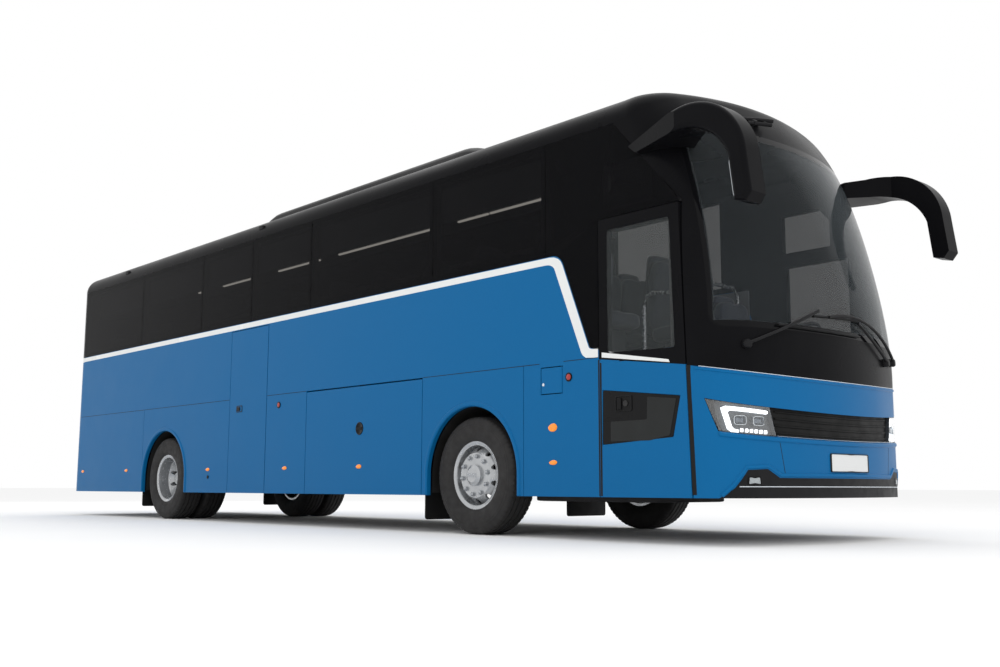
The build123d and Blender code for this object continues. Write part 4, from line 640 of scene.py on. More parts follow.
# Tyres: half section from bead to crown (radius, distance from the middle)
tyre = {"steps": 264, "lugs": 66, "lugDepth": 0.007, "lugAcross": 0.086, "lugRadius": 0.488,
        "lugFade": 0.012,
        "lugSlant": 40, "lugGap": 0.55,
        "wall": [(0.2885, 0.108), (0.2905, 0.118), (0.300, 0.1265), (0.318, 0.133), (0.3205, 0.1345),
                 (0.345, 0.1405),
                 (0.375, 0.1452), (0.405, 0.1470), (0.432, 0.1470), (0.434, 0.1455), (0.452, 0.1450),
                 (0.454, 0.1435),
                 (0.470, 0.1410), (0.484, 0.1370), (0.496, 0.1315), (0.504, 0.1255), (0.5095, 0.118)],
        "tread": [(0.5118, 0.108), (0.5132, 0.090), (0.5135, 0.087), (0.5015, 0.084), (0.5015, 0.077),
                  (0.5138, 0.074),
                  (0.5146, 0.052), (0.5146, 0.034), (0.5025, 0.031), (0.5025, 0.023), (0.5148, 0.020),
                  (0.5149, 0.0)]}


def lugNotch(profile, angle):
    # Shoulder lugs: a square wave round the tyre, strong at the shoulder and gone on crown and wall
    across = np.abs(profile[:, 1:])
    shoulder = np.clip((across - tyre["lugAcross"]) / tyre["lugFade"], 0, 1)
    band = shoulder * np.clip((profile[:, :1] - tyre["lugRadius"]) / tyre["lugFade"], 0, 1)
    wave = np.sin(angle * tyre["lugs"] + across * tyre["lugSlant"])
    return tyre["lugDepth"] * band * (wave > tyre["lugGap"])


half = np.array(tyre["wall"] + tyre["tread"])
section = np.concatenate([half, half[-2::-1] * [1, -1]])
section = np.concatenate([section, section[:1]])
for name, side in (("left", 1), ("right", -1)):
    for piece, axleX, body, node, spots in (
            ("frontTyre.", fax, "front_wheel_", "front_tyre_", ["wheelY"]),
            ("rearTyres.", rax, "rear_wheels_", "rear_tyres_", ["wheelY", "twinY"])):
        tyres = [revolved(section, (axleX, side * coach[key], coach["hub"]), side, tyre["steps"], lugNotch)
                 for key in spots]
        makePiece(piece + name, body + name, ["tyreRubber"], rings(*tyres), [node + name])
print("tyres done")

# Wheel trim: flange lips, nuts on their studs and the blank band across the cap
wheel = {"nuts": 10, "firstNut": 0.16, "pitchR": 0.1675, "nutR": 0.019, "nutH": 0.024, "steps": 96,
         "frontFlat": 0.124, "rearFlat": -0.1435, "capOut": 0.168, "bandHalf": (0.060, 0.017),
         "bandR": 0.004,
         "lip": [(0.266, 0.104), (0.270, 0.114), (0.282, 0.121), (0.295, 0.1255), (0.301, 0.123),
                 (0.302, 0.117),
                 (0.2985, 0.113), (0.289, 0.110), (0.275, 0.104), (0.266, 0.104)]}


def wheelMap(side, flat):
    # Upright plane on one side of the coach: out is the distance off the flat, away from the middle
    return lambda x, z, out: np.stack(np.broadcast_arrays(x, side * (coach["wheelY"] + flat + out), z), -1)


def nutRing(axleX, side, flat):
    # Hexagons drawn in towards a domed head, repeated round the axle
    hexagon = circle(axleX, coach["hub"] + wheel["pitchR"], wheel["nutR"], 6)
    rise = wheel["nutH"]
    head = [(-0.006, 0), (-0.006, 0.003), (0, 0.004), (0, 0.8 * rise), (0.004, rise), (0.009, 1.25 * rise),
            (0.03, 1.35 * rise)]
    middle = (axleX, side * (coach["wheelY"] + flat), coach["hub"])
    return turned(pillow(hexagon, head, wheelMap(side, flat)), middle, wheel["nuts"], wheel["firstNut"])


for name, side in (("left", 1), ("right", -1)):
    for end, axleX, body in (("front", fax, "front_wheel_"), ("rear", rax, "rear_wheels_")):
        lip = revolved(wheel["lip"], (axleX, side * coach["wheelY"], coach["hub"]), side, wheel["steps"])
        makePiece(end + "WheelTrim." + name, body + name,
                  ["polishedAluminium", "platedSteel"],
                  rings(lip) + rings(nutRing(axleX, side, wheel[end + "Flat"]), look=1))
    wide, high = wheel["bandHalf"]
    band = boxOutline(fax - wide, fax + wide, coach["hub"] - high, coach["hub"] + high, wheel["bandR"])
    makePiece("hubBand." + name, "front_wheel_" + name, ["platedSteel"],
              rings(pillow(band, plate(depth=0.001, lift=0.003, edge=0.001),
                           wheelMap(side, wheel["capOut"]))))
print("wheels done")

# Headlamps: housing, lit C, two projectors, a row of small lamps and the clear lens, in arc length and
# height
lamp = {"headIn": -0.8575, "footIn": -0.8025, "footOut": -1.2705, "headOut": -1.3635,
        "cheekZ": (0.8105, 1.0455),
        "barOuter": [(-0.870, 0.962), (-1.215, 0.990), (-1.252, 0.976), (-1.205, 0.826), (-1.168, 0.800),
                     (-1.120, 0.797)],
        "barInner": [(-0.870, 0.934), (-1.180, 0.957), (-1.198, 0.947), (-1.165, 0.842), (-1.148, 0.826),
                     (-1.120, 0.822)],
        "eyes": [(-1.105, 0.888), (-0.950, 0.884)], "eyeHalf": (0.050, 0.034),
        "row": np.linspace(-1.090, -0.880, 6), "rowHalf": (0.010, 0.013), "rowMiddle": (-0.985, 0.812),
        "rowLean": 0.05,
        "housing": [(0, -0.058), (0, -0.003), (0.005, -0.003), (0.009, -0.040), (0.06, -0.046),
                    (shut, -0.050)],
        "lens": [(0, -0.008), (0, -0.002), (0.006, 0.0), (shut, 0.0)],
        "rim": [(0, -0.044), (0, -0.014), (0.005, -0.012), (0.008, -0.020), (0.010, -0.040)],
        "eye": [(0.010, -0.040), (0.016, -0.030), (0.026, -0.022), (shut, -0.018)]}


def lampOutline(inset):
    # Opening between the lamp line and the band line, closed by its leaning ends
    low = np.linspace(lamp["footIn"], lamp["footOut"], 24)
    high = np.linspace(lamp["headOut"], lamp["headIn"], 24)
    edge = np.concatenate([np.stack([low, noseHeight(low, "lampLine")], 1),
                           np.stack([high, noseHeight(high, "bandLine")], 1)])
    middle = (edge.min(0) + edge.max(0)) / 2
    size = (edge.max(0) - edge.min(0)) / 2
    return denser(middle + (edge - middle) * (1 - inset / size), 0.02)


def squareRound(middle, half):
    # Circle squared off: sine and cosine by their square roots
    wave = circle(0, 0, 1, 28)
    return np.array(middle) + np.array(half) * np.sign(wave) * np.abs(wave) ** 0.5


def smallLamp(s):
    # One of the row, which leans along the nose
    (wide, high), (middle, z) = lamp["rowHalf"], lamp["rowMiddle"]
    z = z - lamp["rowLean"] * (s - middle)
    return boxOutline(s - wide, s + wide, z - high, z + high, radius=0.004)


def lampPatches(place, flip):
    # All grids of one lamp unit; the cheek narrows to its foot, and the wall behind it runs straight in
    eyes = [squareRound(spot, lamp["eyeHalf"]) for spot in lamp["eyes"]]
    bar = ribbon(polyline(lamp["barOuter"], 41), polyline(lamp["barInner"], 41), 0.028, -0.010, place)
    row = [pillow(smallLamp(s), plate(depth=0.035, lift=-0.020, edge=0.004), place) for s in lamp["row"]]
    edge = polyline(list(zip((lamp["footOut"], lamp["headOut"]), lamp["cheekZ"])), 8)
    t = np.linspace(0, 1, len(edge))
    cheek = lath(edge, np.stack([0.008 + 0.052 * t, -0.004 * t], 1), 0.006, -0.001, place)
    skin = place(edge[:, 0], edge[:, 1], -0.002 + 0 * t)
    wall = np.stack([skin + [0.001, 0, 0], skin + [0.001, flip * 0.10, 0]])
    return (rings(pillow(lampOutline(0.001), lamp["housing"], place, steps=4))
            + rings(*[pillow(eye, lamp["rim"], place) for eye in eyes], look=1)
            + rings(*[pillow(eye, lamp["eye"], place) for eye in eyes], look=2)
            + strips(bar, look=3) + rings(*row, look=3) + strips(cheek, wall, look=4))


for name, flip in (("right", 1), ("left", -1)):
    place = lambda s, z, out: noseMap(flip * s, z, out)
    makePiece("headlamp." + name, "body",
              ["lampHousing", "reflectorCoat", "projectorGlass", "ledDiffuser", "shadeDarkenedBlack"],
              lampPatches(place, flip), ["headlamps"] if flip > 0 else [])
    makePiece("lampLens." + name, "body", ["clearPolycarbonate"],
              rings(pillow(lampOutline(0.006), lamp["lens"], place, steps=5)))
print("headlamps done")

# Front trim: grille slats, rolled edges of bumper and band, chrome lines, blank plate, fog lamps. The
# bright line along the band's top is a painted highlight on its rolled edge. Rolls and chrome give reach to
# each side, line, offset from it, width, sink and lift
front = {"slats": (0.16, 0.40, 0.64, 0.88), "slatHalf": 0.010, "slatSink": 0.032, "slatLift": -0.022,
         "grilleHalf": 0.795,
         "rolls": [(1.262, "lampLine", -0.020, 0.038, 0.001, 0.010),
                   (1.430, "maskLine", -0.014, 0.026, 0.001, 0.007)],
         "lip": [(0, 0.486), (0.783, 0.482), (0.893, 0.545), (1.062, 0.537), (1.163, 0.410),
                 (1.243, 0.342)],
         "lipBand": (0.002, 0.036), "lipSink": 0.001, "lipLift": 0.010,
         "chromeAndHighlight": [(0.80, "lampLine", 0.006, 0.008, 0.030, 0.002),
                    (1.40, "maskLine", 0.003, 0.007, 0.001, 0.004),
                    (1.13, "footLine", 0.0, 0.009, 0.001, 0.004)],
         "seam": [(0.780, 0.772), (0.728, 0.492)], "seamHalf": 0.003, "seamSink": 0.0003,
         "seamLift": 0.0008,
         "plate": (-0.241, 0.283, 0.535, 0.660), "plateR": 0.008, "plateRim": 0.007,
         "fog": (1.008, 0.462),
         "fogOutline": [(-0.062, -0.030), (0.062, -0.030), (0.056, 0.030), (-0.056, 0.030)],
         "fogLens": [(0.012, -0.001), (0.014, 0.001), (0.02, 0.002), (shut, 0.002)]}
acrossNose = np.linspace(-1, 1, 81)


def frontStrip(reach, line, offset, width, sink, lift):
    # Strip round the nose that keeps its distance from a line of the front
    along = acrossNose * reach
    return lath(np.stack([along, noseHeight(along, line) + offset + width / 2], 1), (0, -width), sink, lift,
                noseMap)


along = acrossNose * front["grilleHalf"]
foot, head = noseHeight(along, "lampLine"), noseHeight(along, "bandLine")
slats = [lath(np.stack([along, foot + (head - foot) * part + front["slatHalf"]], 1),
              (0, -2 * front["slatHalf"]),
              front["slatSink"], front["slatLift"], noseMap) for part in front["slats"]]
# Slats in the black that is darkened with painted shade
makePiece("grilleSlats", "body", ["shadeDarkenedBlack"], strips(*slats))
edge = polyline(front["lip"], 120)
slope = np.gradient(edge, axis=0)
slope /= np.linalg.norm(slope, axis=1, keepdims=True)
upward = np.stack([-slope[:, 1], slope[:, 0]], 1)
lipEdges = [edge + width * upward for width in front["lipBand"]]
lips = [ribbon(*[points * [flip, 1] for points in lipEdges], front["lipSink"], front["lipLift"], noseMap)
        for flip in (1, -1)]
makePiece("bumperRolls", "body", ["flakeBlueEnamel"],
          strips(*[frontStrip(*values) for values in front["rolls"]], *lips))
# Thin bright lines: chrome, and along the band's top a painted highlight
makePiece("chromeAndHighlightLines", "body", ["chromedTrim"],
          strips(*[frontStrip(*values) for values in front["chromeAndHighlight"]]))
seam = polyline(front["seam"], 12)
cuts = [lath(line + [front["seamHalf"], 0], (-2 * front["seamHalf"], 0), front["seamSink"],
             front["seamLift"], noseMap)
        for line in (seam, seam * [-1, 1])]
makePiece("bumperSeams", "body", ["sheetRubber"], strips(*cuts))


def plateBox(grow):
    # Outline of the blank plate, grown on all sides
    y0, y1, z0, z1 = front["plate"]
    return denser(boxOutline(y0 - grow, y1 + grow, z0 - grow, z1 + grow, front["plateR"] + grow), 0.02)


sheet = pillow(plateBox(0.0), plate(depth=0.002, lift=0.006, edge=0.001), noseMap, steps=8)
rim = pillow(plateBox(front["plateRim"]), bezel(depth=0.002, lift=0.011, width=0.010), noseMap)
makePiece("blankPlate", "body", ["reflectiveSheet", "satinGreyPlastic"],
          rings(sheet) + rings(rim, look=1))
fogs = []
for flip in (-1, 1):
    ring = (np.array(front["fogOutline"]) + front["fog"]) * [flip, 1]
    ring = denser(roundOutline(ring, radius=0.012), 0.02)
    fogs += rings(pillow(ring, bezel(depth=0.002, lift=0.004, width=0.012), noseMap), look=1)
    fogs += rings(pillow(ring, front["fogLens"], noseMap, steps=3))
makePiece("fogLamps", "body", ["flutedGlass", "satinBlackPlastic"], fogs)
print("front trim done")

# Front door insert: dark field, raised grey field and the handle box, from the door's rear edge on
insert = {"field": [(0.032, 1.159), (0.790, 1.074), (0.719, 0.779), (0.60, 0.760), (0.027, 0.739)],
          "grey": [(0.112, 0.760), (0.50, 0.757), (0.690, 0.790), (0.755, 1.056), (0.480, 1.084),
                   (0.474, 0.914),
                   (0.112, 0.912)],
          "greyMiddle": (0.56, 0.84), "handle": (0.16, 0.33, 0.985, 1.105),
          "pull": (0.18, 0.225, 1.0, 1.09),
          "lock": (0.265, 1.045, 0.024),
          "lockProfile": [(0, -0.003), (0, 0.004), (0.004, 0.007), (0.012, 0.006), (shut, 0.004)]}


def doorMap(x, z, out):
    # Right side from the front door's rear edge on
    return rightMap(coach["doorRear"] + x, z, out)


field = pillow(roundOutline(insert["field"], radius=0.02), plate(depth=0.011, lift=-0.002, edge=0.003),
               doorMap)
grey = pillow(roundOutline(insert["grey"], radius=0.012), plate(depth=0.003, lift=0.002, edge=0.004),
              doorMap, middle=insert["greyMiddle"])
frameRing = pillow(boxOutline(*insert["handle"], radius=0.015), bezel(depth=0.003, lift=0.004, width=0.012),
                   doorMap)
pull = pillow(boxOutline(*insert["pull"], radius=0.01), plate(depth=0.003, lift=0.008, edge=0.004), doorMap)
lock = pillow(circle(*insert["lock"]), insert["lockProfile"], doorMap)
makePiece("doorInsert", "front_door", ["satinBlackPlastic", "satinGreyPlastic", "castIron"],
          rings(field, frameRing, pull) + rings(grey, look=1) + rings(lock, look=2))
print("door insert done")

# Side lamps: ribbed amber drops at stations of x, z and scale, and the handles, beads and locks of the side
sideLamp = {"drop": [(-0.055, 0), (-0.03, -0.022), (0.02, -0.024), (0.05, -0.012), (0.055, 0.005),
                     (0.03, 0.024),
                     (-0.02, 0.02)],
            "profile": [(0, -0.001), (0, 0.003), (0.003, 0.006), (0.010, 0.009), (0.02, 0.011),
                        (shut, 0.012)],
            "stations": [(fax + 1.027, 0.892, 1.0, 1.45), (fax + 1.031, 0.610, 0.9, 0.855),
                         (-0.1175, 0.611, 0.9, 0.855),
                         (-1.8735, 0.613, 0.9, 0.855), (-4.2115, 0.623, 0.9, 0.855),
                         (-5.7175, 0.623, 0.9, 0.855)],
            "flap": (1.2825, 0.611, 0.9, 0.9)}
flapHandle = {"dish": (1.2875, 0.986, 0.064), "grip": (1.240, 1.335, 0.974, 0.998),
              "dishProfile": [(0, -0.002), (0, 0.003), (0.006, 0.006), (0.012, 0.005), (0.018, 0.001),
                              (shut, 0.001)]}
bead = {"spots": [(fax + 1.217, 1.289), (-0.2675, 1.303)], "ringR": 0.036, "lensR": 0.026,
        "cap": (-1.8575, 0.523, 0.020),
        "lens": [(0, -0.001), (0, 0.006), (0.006, 0.010), (shut, 0.013)],
        "capProfile": [(0, -0.001), (0, 0.006), (0.005, 0.010), (shut, 0.011)]}
middleHandle = {"ring": (-1.215, -1.080, 1.265, 1.341), "pull": (-1.195, -1.130, 1.280, 1.326)}
fuelLock = {"disc": (fax + 0.925, 1.245, 0.013),
            "profile": [(0, -0.001), (0, 0.004), (0.003, 0.007), (shut, 0.007)]}


def lampDrop(station, place):
    # Drop outline scaled to its station
    x, z, wide, high = station
    return pillow(roundOutline(np.array(sideLamp["drop"]) * [wide, high] + [x, z], 0.02),
                  sideLamp["profile"], place)


drops = [lampDrop(station, place) for station in sideLamp["stations"] for place in (rightMap, leftMap)]
makePiece("sideLamps", "body", ["amberAcrylic"], rings(*drops), ["marker_lamps"])
for name, place in (("right", rightMap), ("left", leftMap)):
    dish = pillow(circle(*flapHandle["dish"], 32), flapHandle["dishProfile"], place)
    grip = pillow(boxOutline(*flapHandle["grip"], radius=0.010), plate(depth=0.001, lift=0.006, edge=0.003),
                  place)
    makePiece("flapHandle." + name, "luggage_flap_" + name,
              ["satinBlackPlastic", "amberAcrylic"],
              rings(dish, grip) + rings(lampDrop(sideLamp["flap"], place), look=1))
beads = rings(pillow(circle(*bead["cap"], 32), bead["capProfile"], rightMap))
for spot in bead["spots"]:
    beads += rings(pillow(circle(*spot, bead["ringR"], 32), bezel(depth=0.001, lift=0.008, width=0.012),
                          rightMap))
    beads += rings(pillow(circle(*spot, bead["lensR"], 32), bead["lens"], rightMap), look=1)
makePiece("sideBeads", "body", ["satinBlackPlastic", "redAcrylic"], beads)
handle = [pillow(boxOutline(*middleHandle["ring"], radius=0.015),
                 bezel(depth=0.001, lift=0.004, width=0.014), rightMap),
          pillow(boxOutline(*middleHandle["pull"], radius=0.012),
                 plate(depth=0.001, lift=0.009, edge=0.004), rightMap)]
makePiece("middleDoorHandle", "mid_door", ["satinBlackPlastic"], rings(*handle))
makePiece("fuelLock", "fuel_flap", ["chromedTrim"],
          rings(pillow(circle(*fuelLock["disc"], 32), fuelLock["profile"], rightMap)))
print("side fittings done")

# Wipers: arms and blades over the foot of the windscreen, in arc length and height
wiper = {"rakeFoot": 1.4, "rakeSlope": 0.04, "rakeCurve": 0.15, "pivotR": 0.034,
         "pivot": [(0, -0.002), (0, 0.030), (0.008, 0.042), (shut, 0.046)],
         "arms": [[(-1.05, 1.434), (-0.857, 1.519), (-0.580, 1.614), (-0.318, 1.735)],
                  [(0.969, 1.446), (0.758, 1.567), (0.593, 1.662), (0.216, 1.707), (-0.20, 1.700)],
                  [(0.761, 1.426), (0.503, 1.549), (0.297, 1.641), (0.216, 1.690)]],
         "blades": [[(-0.758, 1.591), (-0.352, 1.585), (0.228, 1.585)],
                    [(-0.376, 1.688), (-0.071, 1.702), (0.254, 1.712)]]}


def screenMap(s, z, out):
    # Foot of the windscreen: the lower nose drawn back by a parabola in the height over the rake's foot
    over = np.maximum(z - wiper["rakeFoot"], 0)
    back = wiper["rakeSlope"] * over + wiper["rakeCurve"] * over ** 2
    return noseMap(s, z, out) - np.stack([back, 0 * back, 0 * back], -1)


def wiperBar(points, out, radius):
    # Round bar along a parabola in height through the points, at a distance off the glass
    s, z = np.array(points).T
    along = np.linspace(s[0], s[-1], 28)
    return capped(tube(screenMap(along, np.polyval(np.polyfit(s, z, 2), along), out + 0 * along), radius))


bars = [wiperBar(points, out=0.030, radius=0.012) for points in wiper["arms"]]
bars += [wiperBar(points, out=0.024, radius=0.006) for points in wiper["blades"]]
rubbers = [wiperBar(points, out=0.012, radius=0.010) for points in wiper["blades"]]
pivots = [pillow(circle(*points[0], wiper["pivotR"]), wiper["pivot"], screenMap)
          for points in wiper["arms"]]
makePiece("wiperArms", "body", ["grainedBlackPlastic", "sheetRubber"],
          rings(*bars, *pivots) + rings(*rubbers, look=1), ["wipers"])
# Twin prong over the windscreen, and the small clips on the roof edges
prong = {"barR": 0.016, "stemR": 0.018, "clip": (0.11, 0.05, 0.05), "clipSquare": 0.4,
         "clipX": (-4.54, -0.82),
         "clipY": 1.238, "clipZ": 3.405,
         "bars": [[(5.345, -0.44, 3.345), (5.40, -0.32, 3.352), (5.46, -0.19, 3.352)],
                  [(5.38, -0.42, 3.310), (5.43, -0.31, 3.310), (5.475, -0.23, 3.306)]],
         "stems": [[(5.33, -0.36, 3.36), (5.365, -0.36, 3.345), (5.425, -0.36, 3.31)],
                   [(5.33, -0.27, 3.36), (5.395, -0.27, 3.345), (5.455, -0.27, 3.31)]]}
bars = [capped(tube(path, prong[key + "R"])) for key in ("bar", "stem") for path in prong[key + "s"]]
clips = [softBox(prong["clip"], prong["clipSquare"]) + np.array([x, side * prong["clipY"], prong["clipZ"]])
         for x in prong["clipX"] for side in (-1, 1)]
makePiece("roofFittings", "body", ["grainedBlackPlastic"], rings(*bars, *clips))
# Mirror glass in the heads' rear faces, which lean with height
mirror = {"tipX": 6.1425, "foot": 2.36, "depth": 0.140, "lean": 0.125, "pane": (1.345, 1.500, 2.378, 2.655),
          "paneR": 0.03}


def mirrorMap(y, z, out):
    # Rear face of the left mirror head: it lies farther back the higher it is
    x = mirror["tipX"] - mirror["depth"] - mirror["lean"] * (z - mirror["foot"]) - out
    return np.stack(np.broadcast_arrays(x, y, z), -1)


sheet = pillow(denser(boxOutline(*mirror["pane"], mirror["paneR"]), 0.03),
               plate(depth=0.002, lift=0.003, edge=0.002),
               mirrorMap, steps=3)
makePiece("mirrorPanes", "body", ["mirrorGlass"], rings(mirrored(sheet), sheet))
print("mirrors and wipers done")

# Roof fairing: a low hood that dies away at both ends and rounds over at its sides
pod = {"x0": -1.5754, "x1": 2.9357, "half": 0.93, "top": 3.768, "rear": 0.45, "front": 0.60,
       "roofFall": 0.07,
       "sink": 0.004}


def hoodGrid():
    # Roof crown plus a swell: smooth ramps along, and the root of one less a tenth power across
    u, v = np.linspace(0, 1, 90)[:, None], np.linspace(-1, 1, 48)[None]
    x = pod["x0"] + (pod["x1"] - pod["x0"]) * u + 0 * v
    ramp = lambda t: np.clip(t, 0, 1) ** 2 * (3 - 2 * np.clip(t, 0, 1))
    crown = coach["roof"] - pod["roofFall"] * (pod["half"] * v / coach["halfWidth"]) ** 2
    ends = ramp((x - pod["x0"]) / pod["rear"]) * ramp((pod["x1"] - x) / pod["front"])
    swell = ends * (1 - np.abs(v) ** 10) ** 0.5
    z = crown - pod["sink"] + (pod["top"] - coach["roof"] + pod["sink"]) * swell
    return np.stack([x, pod["half"] * v + 0 * x, z], -1)


makePiece("roofHood", "body", ["glossBlackEnamel"], strips(hoodGrid()), ["roof_pod"])

# Tail: lamp units of height and finish, and louvres with a lock on the engine lid
tail = {"lamp": (0.866, 0.984, 0.881, 1.439), "units": [(0.955, 0), (1.090, 0), (1.225, 1), (1.360, 2)],
        "unitY": 0.925, "unitR": 0.050,
        "unitLens": [(0.007, 0.0), (0.008, 0.005), (0.02, 0.009), (shut, 0.011)],
        "field": (-0.62, 0.62, 0.70, 1.20), "louvres": np.linspace(0.74, 1.16, 9), "louvreHalf": 0.60,
        "louvreTop": 0.019, "louvreHeight": 0.033, "louvreLift": 0.009, "lock": (0.0, 0.635, 0.026),
        "lockProfile": [(0, -0.001), (0, 0.005), (0.004, 0.008), (shut, 0.008)]}
units = []
for side in (-1, 1):
    place = lambda y, z, out: tailMap(side * y, z, out)
    units += rings(pillow(boxOutline(*tail["lamp"], radius=0.02),
                          plate(depth=0.019, lift=0.002, edge=0.003), place), look=3)
    for z, look in tail["units"]:
        ring = circle(tail["unitY"], z, tail["unitR"])
        units += rings(pillow(ring, bezel(depth=0.001, lift=0.008, width=0.007), place), look=4)
        units += rings(pillow(ring, tail["unitLens"], place, steps=2), look=look)
makePiece("tailLampUnits", "body",
          ["redAcrylic", "amberAcrylic", "flutedGlass", "satinBlackPlastic", "chromedTrim"], units,
          ["tail_lamps"])
field = pillow(boxOutline(*tail["field"], radius=0.02), plate(depth=0.001, lift=0.002, edge=0.001), tailMap)
slats = [lath([(y, z + tail["louvreTop"]) for y in (-tail["louvreHalf"], tail["louvreHalf"])],
              (0, -tail["louvreHeight"]), 0.0, tail["louvreLift"], tailMap, across=7)
         for z in tail["louvres"]]
lock = pillow(circle(*tail["lock"]), tail["lockProfile"], tailMap)
makePiece("lidLouvres", "engine_lid", ["shadeDarkenedBlack", "flakeBlueEnamel", "chromedTrim"],
          rings(field) + strips(*slats, look=1) + rings(lock, look=2))
print("tail done")

# Mud flaps: rubber sheets behind the wheels, and the tray under the front steps
under = {"flaps": [(2.293, (0.64, 1.219, 0.115, 0.70)), (-3.773, (0.60, 1.219, 0.15, 0.86))], "flapR": 0.03,
         "traySize": (1.36, 0.86, 0.10), "trayMiddle": (4.28, -0.67, 0.347), "traySquare": 0.12}
sheets = []
for x, outline in under["flaps"]:
    place = lambda y, z, out: np.stack(np.broadcast_arrays(x + out, y, z), -1)
    sheet = pillow(boxOutline(*outline, under["flapR"]), plate(depth=0.012, lift=0.0, edge=0.002), place)
    sheets += [mirrored(sheet), sheet]
makePiece("mudFlapSheets", "body", ["sheetRubber"], rings(*sheets), ["mud_flaps"])
tray = softBox(under["traySize"], under["traySquare"]) + np.array(under["trayMiddle"])
makePiece("underTray", "body", ["grainedBlackPlastic"], rings(tray))

# Arches: a rolled lip that follows the arch down to the sill, and the wheel house behind it
arch = {"radius": 0.602, "width": 0.045, "sink": 0.001, "rise": 0.010}
house = {"radius": 0.606, "outY": 1.213, "inY": 0.50, "foot": 0.36, "shrink": (1, 1, 0.5, 0.02)}


def archPath(axleX, radius, foot):
    # Up from the foot, half round over the wheel and down again
    turn = np.linspace(0, np.pi, 49)
    over = np.stack([axleX + radius * np.cos(turn), coach["hub"] + radius * np.sin(turn)], 1)
    return np.concatenate([[[axleX + radius, foot]], over, [[axleX - radius, foot]]])


def houseShell(axleX):
    # The arch drawn inward, closed by a wall that shrinks towards the axle's foot
    x, z = archPath(axleX, house["radius"], house["foot"]).T
    shrink = np.array(house["shrink"])[:, None]
    across = np.array([house["outY"]] + 3 * [house["inY"]])[:, None]
    return np.stack([axleX + (x - axleX) * shrink, -across + 0 * x,
                     house["foot"] + (z - house["foot"]) * shrink], -1)


lips, houses = [], []
for axleX in (fax, rax):
    edges = [archPath(axleX, arch["radius"] + wide, coach["sill"]) for wide in (0, arch["width"])]
    lip = ribbon(*edges, arch["sink"], arch["rise"], rightMap, across=7)
    lips += [lip, mirrored(lip)]
    houses += [houseShell(axleX), mirrored(houseShell(axleX))]
makePiece("archLips", "body", ["flakeBlueEnamel"], strips(*lips))
makePiece("wheelHouses", "body", ["chassisPaint"], strips(*houses))
print("arches done")

# Cabin: seats with crowned cushions and shells, left free at the middle stairs. A seat part gives size,
# squareness, middle, lean and the depth of its channel
cabin = {"floor": 1.45, "firstRow": 3.6625, "pitch": 0.8, "rows": 12, "benchY": (0.5075, 0.9625),
         "driver": (4.3475, 0.56, 0.98), "stairs": (-1.3775, -0.5375), "seatAhead": 0.6, "seatBehind": 0.15,
         "channel": 0.02}
seat = {"cushion": ((0.47, 0.43, 0.15), 0.45, (0.27, 0, 0.385), 0.05, 0.06),
        "back": ((0.13, 0.43, 0.66), 0.42, (0.085, 0, 0.76), -0.13, 0.08),
        "head": ((0.10, 0.30, 0.17), 0.5, (0.012, 0, 1.075), -0.13, 0.0),
        "shell": ((0.05, 0.41, 0.70), 0.3, (0.005, 0, 0.74), -0.13, 0.0),
        "stand": ((0.20, 0.30, 0.34), 0.3, (0.265, 0, 0.17), 0.0, 0.0)}
rowX = cabin["firstRow"] - cabin["pitch"] * np.arange(cabin["rows"])
behind, ahead = cabin["stairs"]
free = (rowX + cabin["seatAhead"] < behind) | (rowX - cabin["seatBehind"] > ahead)
spots = [(x, y, cabin["floor"]) for x in rowX for y in cabin["benchY"]]
spots += [(x, -y, cabin["floor"]) for x in rowX[free] for y in cabin["benchY"]]
spots = np.array(spots + [cabin["driver"]])


def seatPart(size, square, middle, lean, dent):
    # Crowned block leant back about y and repeated over all seats, with a sewn channel down its middle
    block = softBox(size, square)
    block = block * (1 - dent * np.exp(-(block[..., 1:2] / cabin["channel"]) ** 2) * np.array([1, 0, 1]))
    c, s = np.cos(lean), np.sin(lean)
    x, y, z = np.moveaxis(block, -1, 0)
    block = np.stack([c * x - s * z, y, s * x + c * z], -1) + np.array(middle)
    return block[None] + spots[:, None, None]


for name, key, fill in (("seatCushions", "cushion", 0.75), ("seatBacks", "back", 0.8),
                        ("headRests", "head", 0.8)):
    piece = makePiece(name, "body", ["wovenMoquette"], rings(seatPart(*seat[key])),
                      ["passenger_seats", "driver_seat"] if name == "seatCushions" else [])
makePiece("seatShells", "body", ["cabinPlastic"],
          rings(seatPart(*seat["shell"]), seatPart(*seat["stand"])))
# Luggage racks, the right one longer than the left one, with glowing strips of painted light from the front
# axle on
rack = {"rear": -5.6, "rightFront": 4.22, "leftFront": 2.2, "steps": 40,
        "section": [(1.185, 2.870), (0.86, 2.885), (0.80, 2.900), (0.765, 2.935), (0.765, 3.02),
                    (0.80, 3.06),
                    (1.185, 3.20)],
        "lightStripSection": [(1.150, 2.852), (1.172, 2.852), (1.172, 2.866), (1.150, 2.866)],
        "lamps": [(-5.49, -5.26), (-4.84, -3.99), (-3.53, -2.67), (-2.30, -0.69), (-0.32, 0.10),
                  (0.13, 1.22)]}
right, left = [capped(swept(rack["section"], rack["rear"], rack[key], rack["steps"]))
             for key in ("rightFront", "leftFront")]
# Strips that glow as painted light along the racks
lamps = [capped(swept(rack["lightStripSection"], fax + a, fax + b)) for a, b in rack["lamps"]]
leftLightStrips = [strip for strip in lamps if strip[..., 0].max() < rack["leftFront"]]
makePiece("luggageRacks", "body", ["cabinLining", "paintedLightStrip"],
          rings(mirrored(right), left) + rings(*[mirrored(strip) for strip in lamps], *leftLightStrips, look=1))
